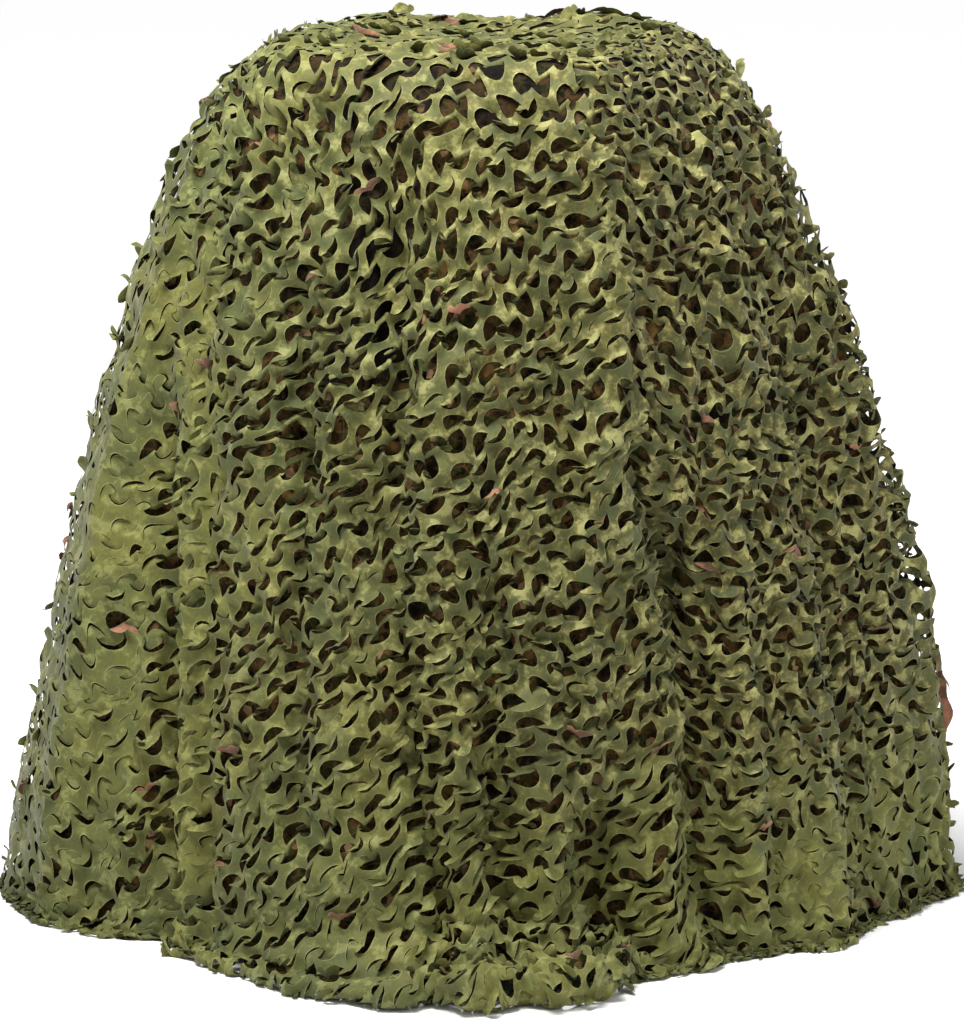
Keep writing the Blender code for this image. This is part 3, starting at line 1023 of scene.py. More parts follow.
# %% [markdown]
# One list of corners
#
# Repeats that meet share their corners on the whole parts and not across a cut, and that is all
# that makes it a net. Each corner is named by its rounded place and by whether it is on the web,
# an upper flap or a lower flap. Corners with the same name become one.

# %% Choose the repeats and join their corners
# metres of pattern to try, then half the width and height of the window on it, its middle in
# pitches down, and how far a repeat's middle may lie outside the panel
PATTERN_REACH = 1.45
WINDOW_HALF = 0.56
WINDOW_TALL = 1.05
WINDOW_DOWN = 14.0
EDGE_SPARE = 0.045

# steps in each pitch for a corner's name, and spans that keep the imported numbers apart
KEY_STEPS = 2000
KEY_SPAN = 4000003
FLAP_SPAN = 40009
NO_FLAP = -(10**12)

Corners = namedtuple("Corners", "x y hinge rise reach side")


def repeats_on(panel):
    """Column and row number of each repeat that touches the panel."""
    slope = math.radians(panel.plan.slope)
    span = int(PATTERN_REACH / PITCH / REPEAT)
    steps = np.arange(-span, span + 1)
    column, row = (part.ravel() for part in np.meshgrid(steps, steps, indexing="ij"))
    x, y = (column + 0.5) * REPEAT, (row + 0.5) * REPEAT
    across = math.cos(slope) * x - math.sin(slope) * y
    up = math.sin(slope) * x + math.cos(slope) * y
    keep = np.abs(across) * PITCH < WINDOW_HALF
    keep = keep & (np.abs(up + WINDOW_DOWN) * PITCH < WINDOW_TALL)
    column, row, x, y = (part[keep] for part in (column, row, x, y))
    room, _, _ = panel.inside(panel.surface(x, y))
    keep = room > -EDGE_SPARE
    return column[keep], row[keep]


def joined_corners(column, row):
    """The corners of all the repeats, with equal ones made one, and the quads between them."""
    copies = np.repeat(REPEAT_CORNERS[None], len(column), axis=0)
    x = copies[..., 0] + column[:, None] * REPEAT
    y = copies[..., 1] + row[:, None] * REPEAT
    side, reach = copies[..., 2], copies[..., 3]
    hinge = copies[..., 4] + row[:, None] * REPEAT
    rise = (y - hinge) * side
    side = np.where(rise > TINY, side, 0.0)
    key_x, key_y = (np.round(part * KEY_STEPS).astype(np.int64) for part in (x, y))
    key = ((key_x * KEY_SPAN + key_y) * 3 + side.astype(np.int64)).ravel()
    _, first, number = np.unique(key, return_index=True, return_inverse=True)
    start = np.arange(len(column)) * len(REPEAT_CORNERS)
    quads = (REPEAT_QUADS[None] + start[:, None, None]).reshape(-1, 4)
    parts = (part.ravel()[first] for part in (x, y, hinge, rise, reach, side))
    return Corners(*parts), number.ravel()[quads]


def flap_numbers(corners, is_flap):
    """For each corner its flap's middle and number, and for each flap its first corner."""
    upper = np.round(corners.x / REPEAT)
    lower = np.floor(corners.x / REPEAT) + 0.5
    middle = np.where(corners.side > 0, upper, lower)
    row = np.round(corners.hinge / REPEAT).astype(np.int64)
    key = np.where(is_flap, (middle * 2).astype(np.int64) * FLAP_SPAN + row, NO_FLAP)
    _, first, number = np.unique(key, return_index=True, return_inverse=True)
    return middle * REPEAT, first, number


print("repeats that touch the front panel:", len(repeats_on(Panel("net_front"))[0]))

# %% [markdown]
# How the cuts open
#
# Pulling the sheet sideways makes each cut gape: the ribbon bows away from the arc and the strips
# sway from side to side. The flap keeps its length and turns into the gap. So the web's corners
# move by a share of the arc's own height, and every flap hangs on the strip that moved.

# %% Open the cuts
# share of an arc's height that the ribbon bows away, and pitches that the strips sway
OPENING = 0.11
MEANDER = 0.08

# how near a cut's line counts as on it, and how far off a strip the ribbon starts
ON_LINE = 1e-3
OFF_STRIP = 1e-4

# folds count between these metres; openness is uneven by this much, in waves of this length
FOLD_LIMITS = (-0.03, 0.015)
OPEN_UNEVEN = 0.14
OPEN_WAVE = 0.20


def openness_at(place, seed):
    """How open the net is: the patches, more in folds that run inward, and some unevenness."""
    height = place.point[:, 2]
    openness = read_patches(OPENNESS, place.bearing, height)
    folds = fold_reach(place.bearing, height, FOLDS) + fold_reach(place.bearing, height, CREASES)
    openness = openness - FOLD_SHARE * np.clip(folds, *FOLD_LIMITS)
    openness = openness + OPEN_UNEVEN * uneven(place.point, OPEN_WAVE, seed)
    return np.clip(openness, 0.0, 1.0)


def open_cuts(local_x, hinge_y, is_flap, openness):
    """How far along the pattern each corner moves, and which web corners lie on a cut."""
    local_y = hinge_y % REPEAT
    below, above = arc_height(local_x), arc_height(np.abs(local_x) - REPEAT / 2)
    gap = REPEAT - 2 * STRIP_HALF - below - above
    share = np.clip((local_y - STRIP_HALF - below) / gap, 0.0, 1.0)
    edge = STRIP_HALF + OFF_STRIP
    on_ribbon = (local_y > edge) & (local_y < REPEAT - edge) & ~is_flap
    sway = -np.cos(local_x / REPEAT * 2 * np.pi)
    least = -math.cos(FLAP_HALF / REPEAT * 2 * math.pi)
    from_below = OPENING * below + MEANDER * np.maximum(sway, least)
    from_above = OPENING * above + MEANDER * np.maximum(-sway, least)
    pulled = from_below * (1 - share) ** 2 - from_above * share**2
    lower_arc = (share < ON_LINE) & (below > TINY)
    upper_arc = (share > 1.0 - ON_LINE) & (above > TINY)
    on_cut = on_ribbon & (lower_arc | upper_arc)
    return openness * np.where(on_ribbon, pulled, MEANDER * sway), on_cut


# %% [markdown]
# What the web does between the folds
#
# Light shows every small fault of a sheet, so a web that follows the folds exactly looks like
# plastic. Here it gets the crumple of handled cloth in two sizes, an arch over each strip, upright
# gathers where a panel is bunched, and a sunk edge where it slides under its neighbour.

# %% Crumple the web
# metres off the drape and length of the waves; a pair is for shut cloth and what openness adds
CRUMPLE = 0.0022
CRUMPLE_WAVE = 0.085
SMALL_CRUMPLE = (0.0009, 0.0034)
SMALL_WAVE = 0.034
ARCH = (0.0004, 0.0018)

# gathers: metres from one to the next, how they sway, and the height under which they grow
GATHER_PITCH = 0.046
GATHER_SWAY = 2.2
GATHER_WAVE = 0.16
GATHER_FROM = 1.0
GATHER_RANGE = 0.25

# over this height the cloth is seated: a little higher, and smoother by this share
SEATED_FROM = 1.02
SEATED_RANGE = 0.06
SEATED_LIFT = 0.0012
SEATED_LESS = 0.75

# a lapped side sinks; the front panel's sides flare, each within this many metres of its edge
SINK = 0.005
SINK_EARLY = 0.35
FLARE = 0.009
FLARE_LEFT = 0.030
FLARE_RIGHT = 0.026
FLARE_RIGHT_SHARE = 0.6
FLARE_TOP = 0.72
FLARE_RANGE = 0.15


def web_relief(plan, place, rooms, openness, pattern, seed):
    """Metres that each corner stands off the drape: the sum of the parts named above."""
    height = place.point[:, 2]
    relief = CRUMPLE * uneven(place.point, CRUMPLE_WAVE, seed)
    small = SMALL_CRUMPLE[0] + SMALL_CRUMPLE[1] * openness
    relief = relief + small * uneven(place.point, SMALL_WAVE, seed + 1)
    phase = 2 * np.pi * place.flat[:, 0] / GATHER_PITCH
    phase = phase + GATHER_SWAY * uneven(place.point, GATHER_WAVE, seed + 2)
    relief = relief + plan.gather * np.sin(phase) * smooth_step((GATHER_FROM - height) / GATHER_RANGE)
    seated = smooth_step((height - SEATED_FROM) / SEATED_RANGE)
    relief = relief * (1.0 - SEATED_LESS * seated) + SEATED_LIFT * seated
    arch = np.cos(pattern[0] / REPEAT * 2 * np.pi) * np.cos(pattern[1] / REPEAT * 2 * np.pi)
    relief = relief + arch * (ARCH[0] + ARCH[1] * openness)
    left, right = (np.where(lapped, room, ROOMY) for lapped, room in zip(plan.lapped, rooms))
    relief = relief - SINK * smooth_step((LAP - np.minimum(left, right)) / LAP + SINK_EARLY)
    for at, high, reach, tall, lift in LIFTS:
        relief = relief + lift * bell(place.bearing, height, at, high, reach, tall)
    if plan.on_board:
        flare = smooth_step(1.0 - rooms[0] / FLARE_LEFT)
        flare = flare * smooth_step((FLARE_TOP - height) / FLARE_RANGE)
        flare = flare + FLARE_RIGHT_SHARE * smooth_step(1.0 - rooms[1] / FLARE_RIGHT)
        relief = relief + FLARE * flare
    return relief


# %% [markdown]
# Cutting a panel
#
# Everything meets here. The corners are laid on the drape twice: once to ask how open the net is
# there, and once more when the cuts have opened. A third look a little further on gives the way
# that each flap points. Then each flap is bent off the surface and faces past the panel's sides
# are dropped, whole flaps at a time, so that no half flap is left in the air.

# %% Cut one panel
# pitches to look ahead, how much a flap may shrink or grow, and least curl in radians
LOOK_AHEAD = 0.25
SCALE_LIMITS = (0.7, 1.3)
LEAST_CURL = 0.02
LEAST_WIDTH = 1e-3

# uneven metres off the floor, uneven metres along the sides, and turns of that unevenness
FLOOR_GAP = 0.0004
FLOOR_WAVE = 0.02
RAGGED = 0.004
RAGGED_WAVES = (3.1, 1.7)

# from here a corner is at a flap's tip; the tan print fades in from this height
AT_TIP = 0.99
TAN_FROM = 0.10
TAN_RANGE = 0.25

# what is added to the panel's seed for its openness, its relief and its height off the floor
OPEN_SEED = 3
RELIEF_SEED = 5
FLOOR_SEED = 8


def bend_flaps(corners, is_flap, middle, bends, scale):
    """How far each corner of a flap goes along the surface and off it, as a piece of a circle."""
    start, curl, twist = bends
    start = start + twist * (corners.x - middle) / FLAP_HALF
    bend = np.where(np.abs(curl) < LEAST_CURL, LEAST_CURL, curl) / (FLAP_HEIGHT * PITCH)
    distance = corners.rise * PITCH * scale
    forward = (np.sin(start + bend * distance) - np.sin(start)) / bend
    lifted = (np.cos(start) - np.cos(start + bend * distance)) / bend
    return (np.where(is_flap, part, 0.0)[:, None] for part in (forward, lifted))


def faces_inside(quads, room, hinge_room, is_flap, corners):
    """The quads whose own middle, or whose flap's hinge, is inside the panel."""
    ragged = RAGGED * np.sin(corners.x * RAGGED_WAVES[0] + corners.y * RAGGED_WAVES[1])
    of_web = (room + ragged)[quads].mean(axis=1)
    of_flap = np.where(is_flap, hinge_room, np.inf)[quads].min(axis=1)
    return quads[np.where(is_flap[quads].any(axis=1), of_flap, of_web) > 0.0]


def cut_panel(name, seed):
    """All the cloth of a panel: points, quads, facts for the finish, and flat places."""
    panel = Panel(name)
    corners, quads = joined_corners(*repeats_on(panel))
    is_flap = corners.side != 0.0
    middle, flap_first, flap_of = flap_numbers(corners, is_flap)

    hinge_y = np.where(is_flap, corners.hinge, corners.y)
    place = panel.surface(corners.x, hinge_y)
    openness = openness_at(place, seed + OPEN_SEED)
    loose = read_patches(LOOSE, place.bearing, place.point[:, 2])
    local_x = corners.x - np.round(corners.x / REPEAT) * REPEAT
    moved, on_cut = open_cuts(local_x, hinge_y, is_flap, openness)
    hinge_y = hinge_y + moved

    place = panel.surface(corners.x, hinge_y)
    room, *side_rooms = panel.inside(place)
    ahead = panel.surface(corners.x, hinge_y + LOOK_AHEAD * np.where(is_flap, corners.side, 1.0))
    along = ahead.point - place.point
    along = along - place.normal * (along * place.normal).sum(axis=-1, keepdims=True)
    scale = np.clip(np.linalg.norm(along, axis=-1) / (LOOK_AHEAD * PITCH), *SCALE_LIMITS)

    drawn = draw_bends(openness[flap_first], loose[flap_first], corners.side[flap_first], seed)
    *bends, folded = (part[flap_of] for part in drawn)
    forward, lifted = bend_flaps(corners, is_flap, middle, bends, scale)
    pattern = (local_x, hinge_y)
    relief = web_relief(panel.plan, place, side_rooms, openness, pattern, seed + RELIEF_SEED)
    points = place.point + place.normal * relief[:, None]
    points = points + unit(along) * forward + place.normal * lifted
    off_floor = 1.0 + uneven(place.point, FLOOR_WAVE, seed + FLOOR_SEED)
    floor_gap = FLOOR_GAP * np.clip(off_floor, 0.0, 2.0)
    points[:, 2] = np.maximum(points[:, 2], FIT_GAP + floor_gap)

    quads = faces_inside(quads, room, room[flap_first][flap_of], is_flap, corners)
    side_share = np.clip(side_rooms[0] / np.maximum(sum(side_rooms), LEAST_WIDTH), 0.0, 1.0)
    tan_left, tan_right = panel.plan.tan
    tan = tan_left + (tan_right - tan_left) * side_share
    facts = {
        # corners on a cut or at a flap's tip, where the cloth finish paints a highlight
        "lit_cut_edge": ((is_flap & (corners.reach > AT_TIP)) | on_cut).astype(float),
        "back_side": np.where(is_flap, folded, 0.0),
        "tan_print": tan * smooth_step((points[:, 2] - TAN_FROM) / TAN_RANGE),
    }
    return points, quads, facts, place.flat


# %% [markdown]
# From arrays to an object
#
# Blender takes whole arrays: foreach_set copies points and corner numbers in one go, where a loop
# over a hundred thousand faces would take minutes. Facts such as "this point is on a cut" travel
# as attributes on the points, and the flat places become a UV map.

# %% Make a mesh from arrays
def place_piece(name, points, faces, facts=None, flat=None):
    """One object from points round the table's axis and quads; repeated corners make triangles."""
    points = points + np.array([AXIS_X, AXIS_Y, 0.0])
    used, numbers = np.unique(faces, return_inverse=True)
    faces = numbers.reshape(faces.shape)
    points = points[used]
    same = faces == np.roll(faces, -1, axis=1)
    faces, same = faces[same.sum(axis=1) < 2], same[same.sum(axis=1) < 2]
    keep = ~same
    counts = keep.sum(axis=1)
    loops = faces[keep]
    mesh = bpy.data.meshes.new(name)
    mesh.vertices.add(len(points))
    mesh.vertices.foreach_set("co", points.astype(np.float32).ravel())
    mesh.loops.add(len(loops))
    mesh.loops.foreach_set("vertex_index", loops.astype(np.int32))
    mesh.polygons.add(len(faces))
    starts = np.concatenate([[0], np.cumsum(counts)[:-1]])
    mesh.polygons.foreach_set("loop_start", starts.astype(np.int32))
    mesh.update(calc_edges=True)
    mesh.validate()
    for fact, values in (facts or {}).items():
        made = mesh.attributes.new(fact, "FLOAT", "POINT")
        made.data.foreach_set("value", values[used].astype(np.float32))
    if flat is not None:
        layer = mesh.uv_layers.new(name="cloth")
        corner = np.zeros(len(mesh.loops), dtype=np.int32)
        mesh.loops.foreach_get("vertex_index", corner)
        layer.data.foreach_set("uv", flat[used][corner].astype(np.float32).ravel())
    mesh.shade_smooth()
    made = bpy.data.objects.new(name, mesh)
    scene.collection.objects.link(made)
    return made


def surface_area(points, faces):
    """Area of quads in square metres: half the length of the cross product of the diagonals."""
    across = points[faces[:, 2]] - points[faces[:, 0]]
    along = points[faces[:, 3]] - points[faces[:, 1]]
    return float(np.linalg.norm(np.cross(across, along), axis=1).sum() / 2)


square = np.array([[0.0, 0.0, 0.0], [1.0, 0.0, 0.0], [1.0, 1.0, 0.0], [0.0, 1.0, 0.0]])
print("a square of 1 m has", surface_area(square, np.array([[0, 1, 2, 3]])), "m2")

# %% [markdown]
# Ragged ends
#
# At its side edge the cloth ends in torn strips that hang free of the dome. Each strip is a
# narrow grid along a path: it leans out from the drape, hangs, wavers, and narrows to its tip.

# %% Lay the ragged ends
RAGS = (
    # bearing, height, length, width, leans out, hangs (or stands), brown
    (104.0, 0.545, 0.050, 0.012, 0.016, 1.0, 0.0),
    (105.0, 0.490, 0.080, 0.014, 0.026, 1.0, 0.0),
    (103.0, 0.425, 0.060, 0.012, 0.030, 1.0, 0.0),
    (104.5, 0.370, 0.090, 0.010, 0.020, 1.0, 0.0),
    (104.0, 0.310, 0.055, 0.018, 0.024, 1.0, 0.5),
    (104.0, 0.285, 0.080, 0.028, 0.018, 1.0, 1.0),
    (-121.0, 1.086, 0.020, 0.010, 0.002, -1.0, 0.0),
)
RAG_STEPS = 14

# strength, turns along the strip and step from strip to strip of each waver, in radians or metres
RAG_TWIST = (0.7, 0.0, 2.1)
RAG_TURN = 0.9
RAG_TAPER = 0.8
RAG_NICKS = (0.3, 13.0, 2.0)
RAG_WAVER_OUT = (0.004, 8.0, 1.7)
RAG_WAVER_ALONG = (0.006, 6.0, 2.3)
RAG_DROOP = 1.2
RAG_SLANT = 0.3


def waver(strength, turns, step, share, count):
    """Strength times sin(turns times the share, plus a step for each strip)."""
    return strength * np.sin(turns * share + step * count)


def ragged_ends():
    """Points, quads and facts of the strips: two edges along each path."""
    bearing, height, length, width, lean, hang, brown = np.array(RAGS).T[:, :, None, None]
    share = np.linspace(0.0, 1.0, RAG_STEPS + 1)[None, :, None]
    edge = np.array([-0.5, 0.5])[None, None, :]
    count = np.arange(len(RAGS))[:, None, None]
    columns = ((bearing + 180.0) * GRID_COLUMNS / 360.0).astype(int).ravel()
    rows = [np.argmin(np.abs(GRID[:, c, 2] - h)) for c, h in zip(columns, height.ravel())]
    root = np.hypot(GRID[rows, columns, 0], GRID[rows, columns, 1])[:, None, None]
    twist = waver(*RAG_TWIST, share, count) + RAG_TURN * share
    across = width * edge * (1.0 - RAG_TAPER * share) * (1.0 + waver(*RAG_NICKS, share, count))
    out = root + lean * (1.0 - (1.0 - share) ** 2) + waver(*RAG_WAVER_OUT, share, count)
    out = out + across * np.cos(twist)
    along = waver(*RAG_WAVER_ALONG, share, count) + across * np.sin(twist)
    down = height - hang * length * share**RAG_DROOP + RAG_SLANT * across
    turn = np.radians(bearing)
    x = out * np.sin(turn) + along * np.cos(turn)
    y = -out * np.cos(turn) + along * np.sin(turn)
    points = np.stack(np.broadcast_arrays(x, y, down), axis=-1)
    one = grid_quads(RAG_STEPS + 1, 2)
    quads = one[None] + (np.arange(len(RAGS)) * 2 * (RAG_STEPS + 1))[:, None, None]
    shape = points.shape[:-1]
    facts = {
        # the green strips take the painted cut-edge highlight all over
        "lit_cut_edge": np.broadcast_to(1.0 - brown, shape).ravel(),
        "back_side": np.broadcast_to(brown, shape).ravel(),
        "tan_print": np.zeros(shape).ravel(),
    }
    flat = np.stack(np.broadcast_arrays(width * edge + count, length * share), axis=-1)
    return points.reshape(-1, 3), quads.reshape(-1, 4), facts, flat.reshape(-1, 2)


def join(first, second):
    """Two sets of points, quads, facts and flat places as one."""
    facts = {name: np.concatenate([first[2][name], second[2][name]]) for name in first[2]}
    return (
        np.concatenate([first[0], second[0]]),
        np.concatenate([first[1], second[1] + len(first[0])]),
        facts,
        np.concatenate([first[3], second[3]]),
    )


print(len(ragged_ends()[1]), "faces for", len(RAGS), "ragged ends")

# %% [markdown]
# All the net's pieces
#
# The real net is one sheet. It is cut here as five objects because a single mesh of so many small
# faces is slow to work with and heavy to export. Each piece is a sheet in its own right, and its
# flat size and area are measured on it, so that it can be checked against the cloth it is cut
# from.

# %% Cut every panel
FIRST_SEED = 100
SEED_STEP = 10
net_pieces, flat_sizes, piece_areas = {}, {}, {}
for order, name in enumerate(PANELS):
    cut = cut_panel(name, FIRST_SEED + SEED_STEP * order)
    flat_sizes[name] = tuple(float(v) for v in np.ptp(cut[3][np.unique(cut[1])], axis=0))
    if name == "net_right":
        cut = join(cut, ragged_ends())
    points, faces, facts, flat = cut
    net_pieces[name] = place_piece(name, points, faces, facts, flat)
    piece_areas[name] = surface_area(points, faces)
    size = " x ".join(f"{v:.2f}" for v in flat_sizes[name])
    print(name, len(faces), "faces, cut from", size, "m, cloth left", round(piece_areas[name], 2), "m2")


# %% [markdown]
# The layer inside
#
# Such nets are sold doubled: behind the open holes lies a second, crumpled layer with its brown
# side out, so the holes show dark mottled cloth and not the far side of the table. It is seen
# only through holes, so one closed crumpled sheet is enough. It hangs a finger's breadth inside
# the outer layer, and close to it on the board.

# %% Hang the lining
LINING_COLUMNS = 420
LINING_STEP = 0.0105
LINING_DEPTH = 0.017
LINING_INSET = 0.018
LINING_END = 0.8

# the depth on the board, and how it grows below it
BOARD_DEPTH = 0.0022
DEPTH_FROM = 1.075
DEPTH_RANGE = 0.12
LINING_CRUMPLE = ((0.0045, 0.034, 71), (0.0045, 0.075, 72))
CRUMPLE_LIMITS = (-0.008, 0.009)
INSET_FROM = 0.4
INSET_RANGE = 0.6
LEAST_DISTANCE = 0.05
LINING_FLOOR = 0.001


def lining_grid():
    """Rows of the drape moved in along its normals, with two sizes of crumple added."""
    bearing = (np.arange(LINING_COLUMNS) * 360.0 / LINING_COLUMNS - 180.0)[None, :]
    run = GRID_RUN.mean(axis=1)
    stop = run[BOARD_ROWS + WALL_ROWS + int(LIP_ROWS * LINING_END)]
    rows = np.interp(np.arange(run[0], stop, LINING_STEP), run, np.arange(len(run)))[:, None]
    rows, bearing = np.broadcast_arrays(rows, bearing)
    point = look_up(POINT_TABLE, rows, bearing)
    normal = unit(look_up(NORMAL_TABLE, rows, bearing))
    below = smooth_step((DEPTH_FROM - point[..., 2]) / DEPTH_RANGE)
    depth = BOARD_DEPTH + (LINING_DEPTH - BOARD_DEPTH) * below
    crumple = np.clip(creep(point, LINING_CRUMPLE), *CRUMPLE_LIMITS)
    moved = point - normal * (depth + crumple * below)[..., None]
    past_foot = rows - BOARD_ROWS - WALL_ROWS
    on_lip = smooth_step((past_foot + LIP_ROWS * INSET_FROM) / (LIP_ROWS * INSET_RANGE))
    distance = np.hypot(moved[..., 0], moved[..., 1])
    moved[..., :2] *= (1.0 - LINING_INSET * on_lip / np.maximum(distance, LEAST_DISTANCE))[..., None]
    moved[..., 2] = np.maximum(moved[..., 2], LINING_FLOOR)
    return moved


lining_points = lining_grid()
rows_down = len(lining_points)
numbers = np.arange(rows_down * LINING_COLUMNS).reshape(rows_down, LINING_COLUMNS)
after = np.roll(numbers, -1, axis=1)
lining_faces = np.stack([numbers[:-1], numbers[1:], after[1:], after[:-1]], axis=-1).reshape(-1, 4)
lining_points = lining_points.reshape(-1, 3)

# painted deep shade on the lining in one gap of the folds, bearing and height with their reach, and on
# top
SHADE_AT = (-9.5, 9.0)
SHADE_HEIGHT = (0.83, 0.135)
SHADE_TOP = (0.98, 0.08)
SHADE_TOP_SHARE = 0.7
lining_bearing = np.degrees(np.arctan2(lining_points[:, 0], -lining_points[:, 1]))
lining_height = lining_points[:, 2]
dark = np.exp(-((turn_between(lining_bearing, SHADE_AT[0]) / SHADE_AT[1]) ** 4))
dark = dark * np.exp(-(((lining_height - SHADE_HEIGHT[0]) / SHADE_HEIGHT[1]) ** 4))
painted_top_shade = SHADE_TOP_SHARE * smooth_step((lining_height - SHADE_TOP[0]) / SHADE_TOP[1])
facts = {"painted_shade": np.maximum(dark, painted_top_shade)}
lining = place_piece("net_lining", lining_points, lining_faces, facts)
lining_area = surface_area(lining_points, lining_faces)
print("lining", len(lining_faces), "faces", round(lining_area, 3), "m2")

# %% [markdown]
# Shader maths as plain expressions
#
# A finish is a sum and product of patterns. One small class wraps a socket so that Python's own
# operators add the Math nodes, and one method makes any other node from its type, its settings
# and its inputs.

# %% Helpers for the finishes
class Signal:
    """A socket that carries one number, with the usual arithmetic."""

    def __init__(self, finish, socket):
        self.finish, self.socket = finish, socket

    def math(self, operation, first, second=0.0):
        made = self.finish.add("ShaderNodeMath", {"operation": operation}, {0: first, 1: second})
        return Signal(self.finish, made.outputs[0])

    def __add__(self, other):
        return self.math("ADD", self, other)

    def __radd__(self, other):
        return self.math("ADD", other, self)

    def __sub__(self, other):
        return self.math("SUBTRACT", self, other)

    def __rsub__(self, other):
        return self.math("SUBTRACT", other, self)

    def __mul__(self, other):
        return self.math("MULTIPLY", self, other)

    def __rmul__(self, other):
        return self.math("MULTIPLY", other, self)

    def step(self, low, high):
        """0 at low, 1 at high, straight between and held beyond."""
        inputs = {"Value": self, "From Min": low, "From Max": high}
        made = self.finish.add("ShaderNodeMapRange", {"interpolation_type": "SMOOTHSTEP"}, inputs)
        return Signal(self.finish, made.outputs["Result"])


class Finish:
    """A material and the one method that adds nodes to it."""

    def __init__(self, name, roughness, sheen=0.0, shine=0.5):
        self.material = bpy.data.materials.new(name)
        self.material.use_nodes = True
        self.tree = self.material.node_tree
        self.shader = self.tree.nodes["Principled BSDF"]
        self.shader.inputs["Roughness"].default_value = roughness
        self.shader.inputs["Sheen Weight"].default_value = sheen
        self.shader.inputs["Specular IOR Level"].default_value = shine

    def add(self, kind, settings=None, inputs=None):
        """A node of that kind: settings first, then a value or a link for each named input."""
        made = self.tree.nodes.new(kind)
        for key, value in (settings or {}).items():
            setattr(made, key, value)
        for key, value in (inputs or {}).items():
            self.feed(made.inputs[key], value)
        return made

    def feed(self, socket, value):
        """Links a Signal, a socket or a value to an input."""
        if isinstance(value, Signal):
            value = value.socket
        if isinstance(value, bpy.types.NodeSocket):
            self.tree.links.new(value, socket)
        elif hasattr(value, "__len__") and len(value) == 3 and socket.type == "RGBA":
            socket.default_value = (*value, 1.0)
        else:
            socket.default_value = value

    def place(self, scale=(1.0, 1.0, 1.0), turn=(0.0, 0.0, 0.0)):
        """Object coordinates, stretched and turned."""
        source = self.add("ShaderNodeTexCoord").outputs["Object"]
        inputs = {"Vector": source, "Scale": scale, "Rotation": turn}
        return self.add("ShaderNodeMapping", None, inputs).outputs[0]

    def noise(self, vector, scale, detail=3.0, roughness=0.55):
        """Noise from 0 to 1 with that many features a metre."""
        inputs = {"Vector": vector, "Scale": scale, "Detail": detail, "Roughness": roughness}
        return Signal(self, self.add("ShaderNodeTexNoise", None, inputs).outputs["Fac"])

    def fact(self, name):
        """A number kept on the mesh's points."""
        made = self.add("ShaderNodeAttribute", {"attribute_name": name})
        return Signal(self, made.outputs["Fac"])

    def part(self, colour, which):
        """The red, green or blue part of a colour, by number."""
        made = self.add("ShaderNodeSeparateColor", None, {"Color": colour})
        return Signal(self, made.outputs[which])

    def mix(self, share, first, second, blend="MIX"):
        """Colours mixed: first where share is 0, second where it is 1."""
        settings = {"data_type": "RGBA", "blend_type": blend}
        made = self.add("ShaderNodeMix", settings)
        self.feed(made.inputs[0], share)
        self.feed(made.inputs[6], first)
        self.feed(made.inputs[7], second)
        return made.outputs[2]

    def bump(self, height, strength, distance):
        """Sends a height through a Bump node to the shader's normal."""
        inputs = {"Height": height, "Strength": strength, "Distance": distance}
        made = self.add("ShaderNodeBump", None, inputs)
        self.tree.links.new(made.outputs["Normal"], self.shader.inputs["Normal"])


def srgb(red, green, blue):
    """A screen colour from 0 to 255 as the linear colour that shaders use."""
    parts = (np.array([red, green, blue]) / 255.0 + 0.055) / 1.055
    return tuple(float(part) for part in parts**2.4)


print("middle grey on the screen is", round(srgb(128, 128, 128)[0], 3), "of white light")

# %% [markdown]
# The cloth's finish
#
# The face is printed in soft patches of three near greens and the back in browns. Of the small specks,
# the pale ones are painted highlight and the dark ones are partly print and partly painted shade. Over
# the print lie a fine weave with painted shade between its threads, faint streaks along the threads,
# and a painted highlight along every cut.

# %% Net cloth
GROUND = (srgb(80, 84, 33), srgb(97, 97, 38))
DEEP_GREEN = srgb(54, 68, 30)
TAN = srgb(126, 114, 52)
BROWN_SPECKS = srgb(98, 84, 38)
# dark specks: part print, part painted shade on the web
DARK_SPECKS_AND_SHADE = srgb(50, 54, 18)
# painted highlight specks
HIGHLIGHT_SPECKS = srgb(156, 156, 98)
BACK = (srgb(84, 52, 36), srgb(138, 92, 68))
# painted highlight along the cut edges
CUT_EDGE_HIGHLIGHT = srgb(168, 170, 112)
# painted shade between the threads of the weave
THREAD_GAP_SHADE = srgb(48, 50, 22)

# broad patches, blots, specks and threads: features a metre, then detail and roughness
cloth = Finish("net cloth", 0.72, sheen=0.08, shine=0.38)
at = cloth.place()
broad = cloth.noise(at, 5.0, 2.0)
middle = cloth.noise(cloth.place((1.0, 1.0, 1.4), (0.4, 0.2, 0.9)), 20.0, 3.0)
small = cloth.noise(at, 48.0, 3.0, 0.65)
fine = cloth.noise(at, 260.0, 2.0)
printed = cloth.fact("tan_print")
LAYERS = (
    # pattern, where it starts and is full, its share, what the tan print adds, colour
    (middle, 0.52, 0.62, 0.34, 0.4, DEEP_GREEN),
    (1.0 - middle, 0.58, 0.68, 0.12, 0.5, TAN),
    (small, 0.35, 0.60, 0.0, 1.0, BROWN_SPECKS),
    # part print, part painted shade
    (1.0 - small, 0.46, 0.57, 0.25, 0.8, DARK_SPECKS_AND_SHADE),
    # painted highlight
    (small, 0.52, 0.63, 0.30, 0.5, HIGHLIGHT_SPECKS),
)
face = cloth.mix(broad.step(0.40, 0.62), *GROUND)
for pattern, low, high, share, on_tan, tone in LAYERS:
    face = cloth.mix(pattern.step(low, high) * (printed * on_tan + share), face, tone)
back = cloth.mix(middle.step(0.45, 0.60), *BACK)
colour = cloth.mix(cloth.fact("back_side"), face, back)
# painted highlight along the cuts
colour = cloth.mix(cloth.fact("lit_cut_edge").step(0.70, 1.0) * 0.32, colour, CUT_EDGE_HIGHLIGHT)
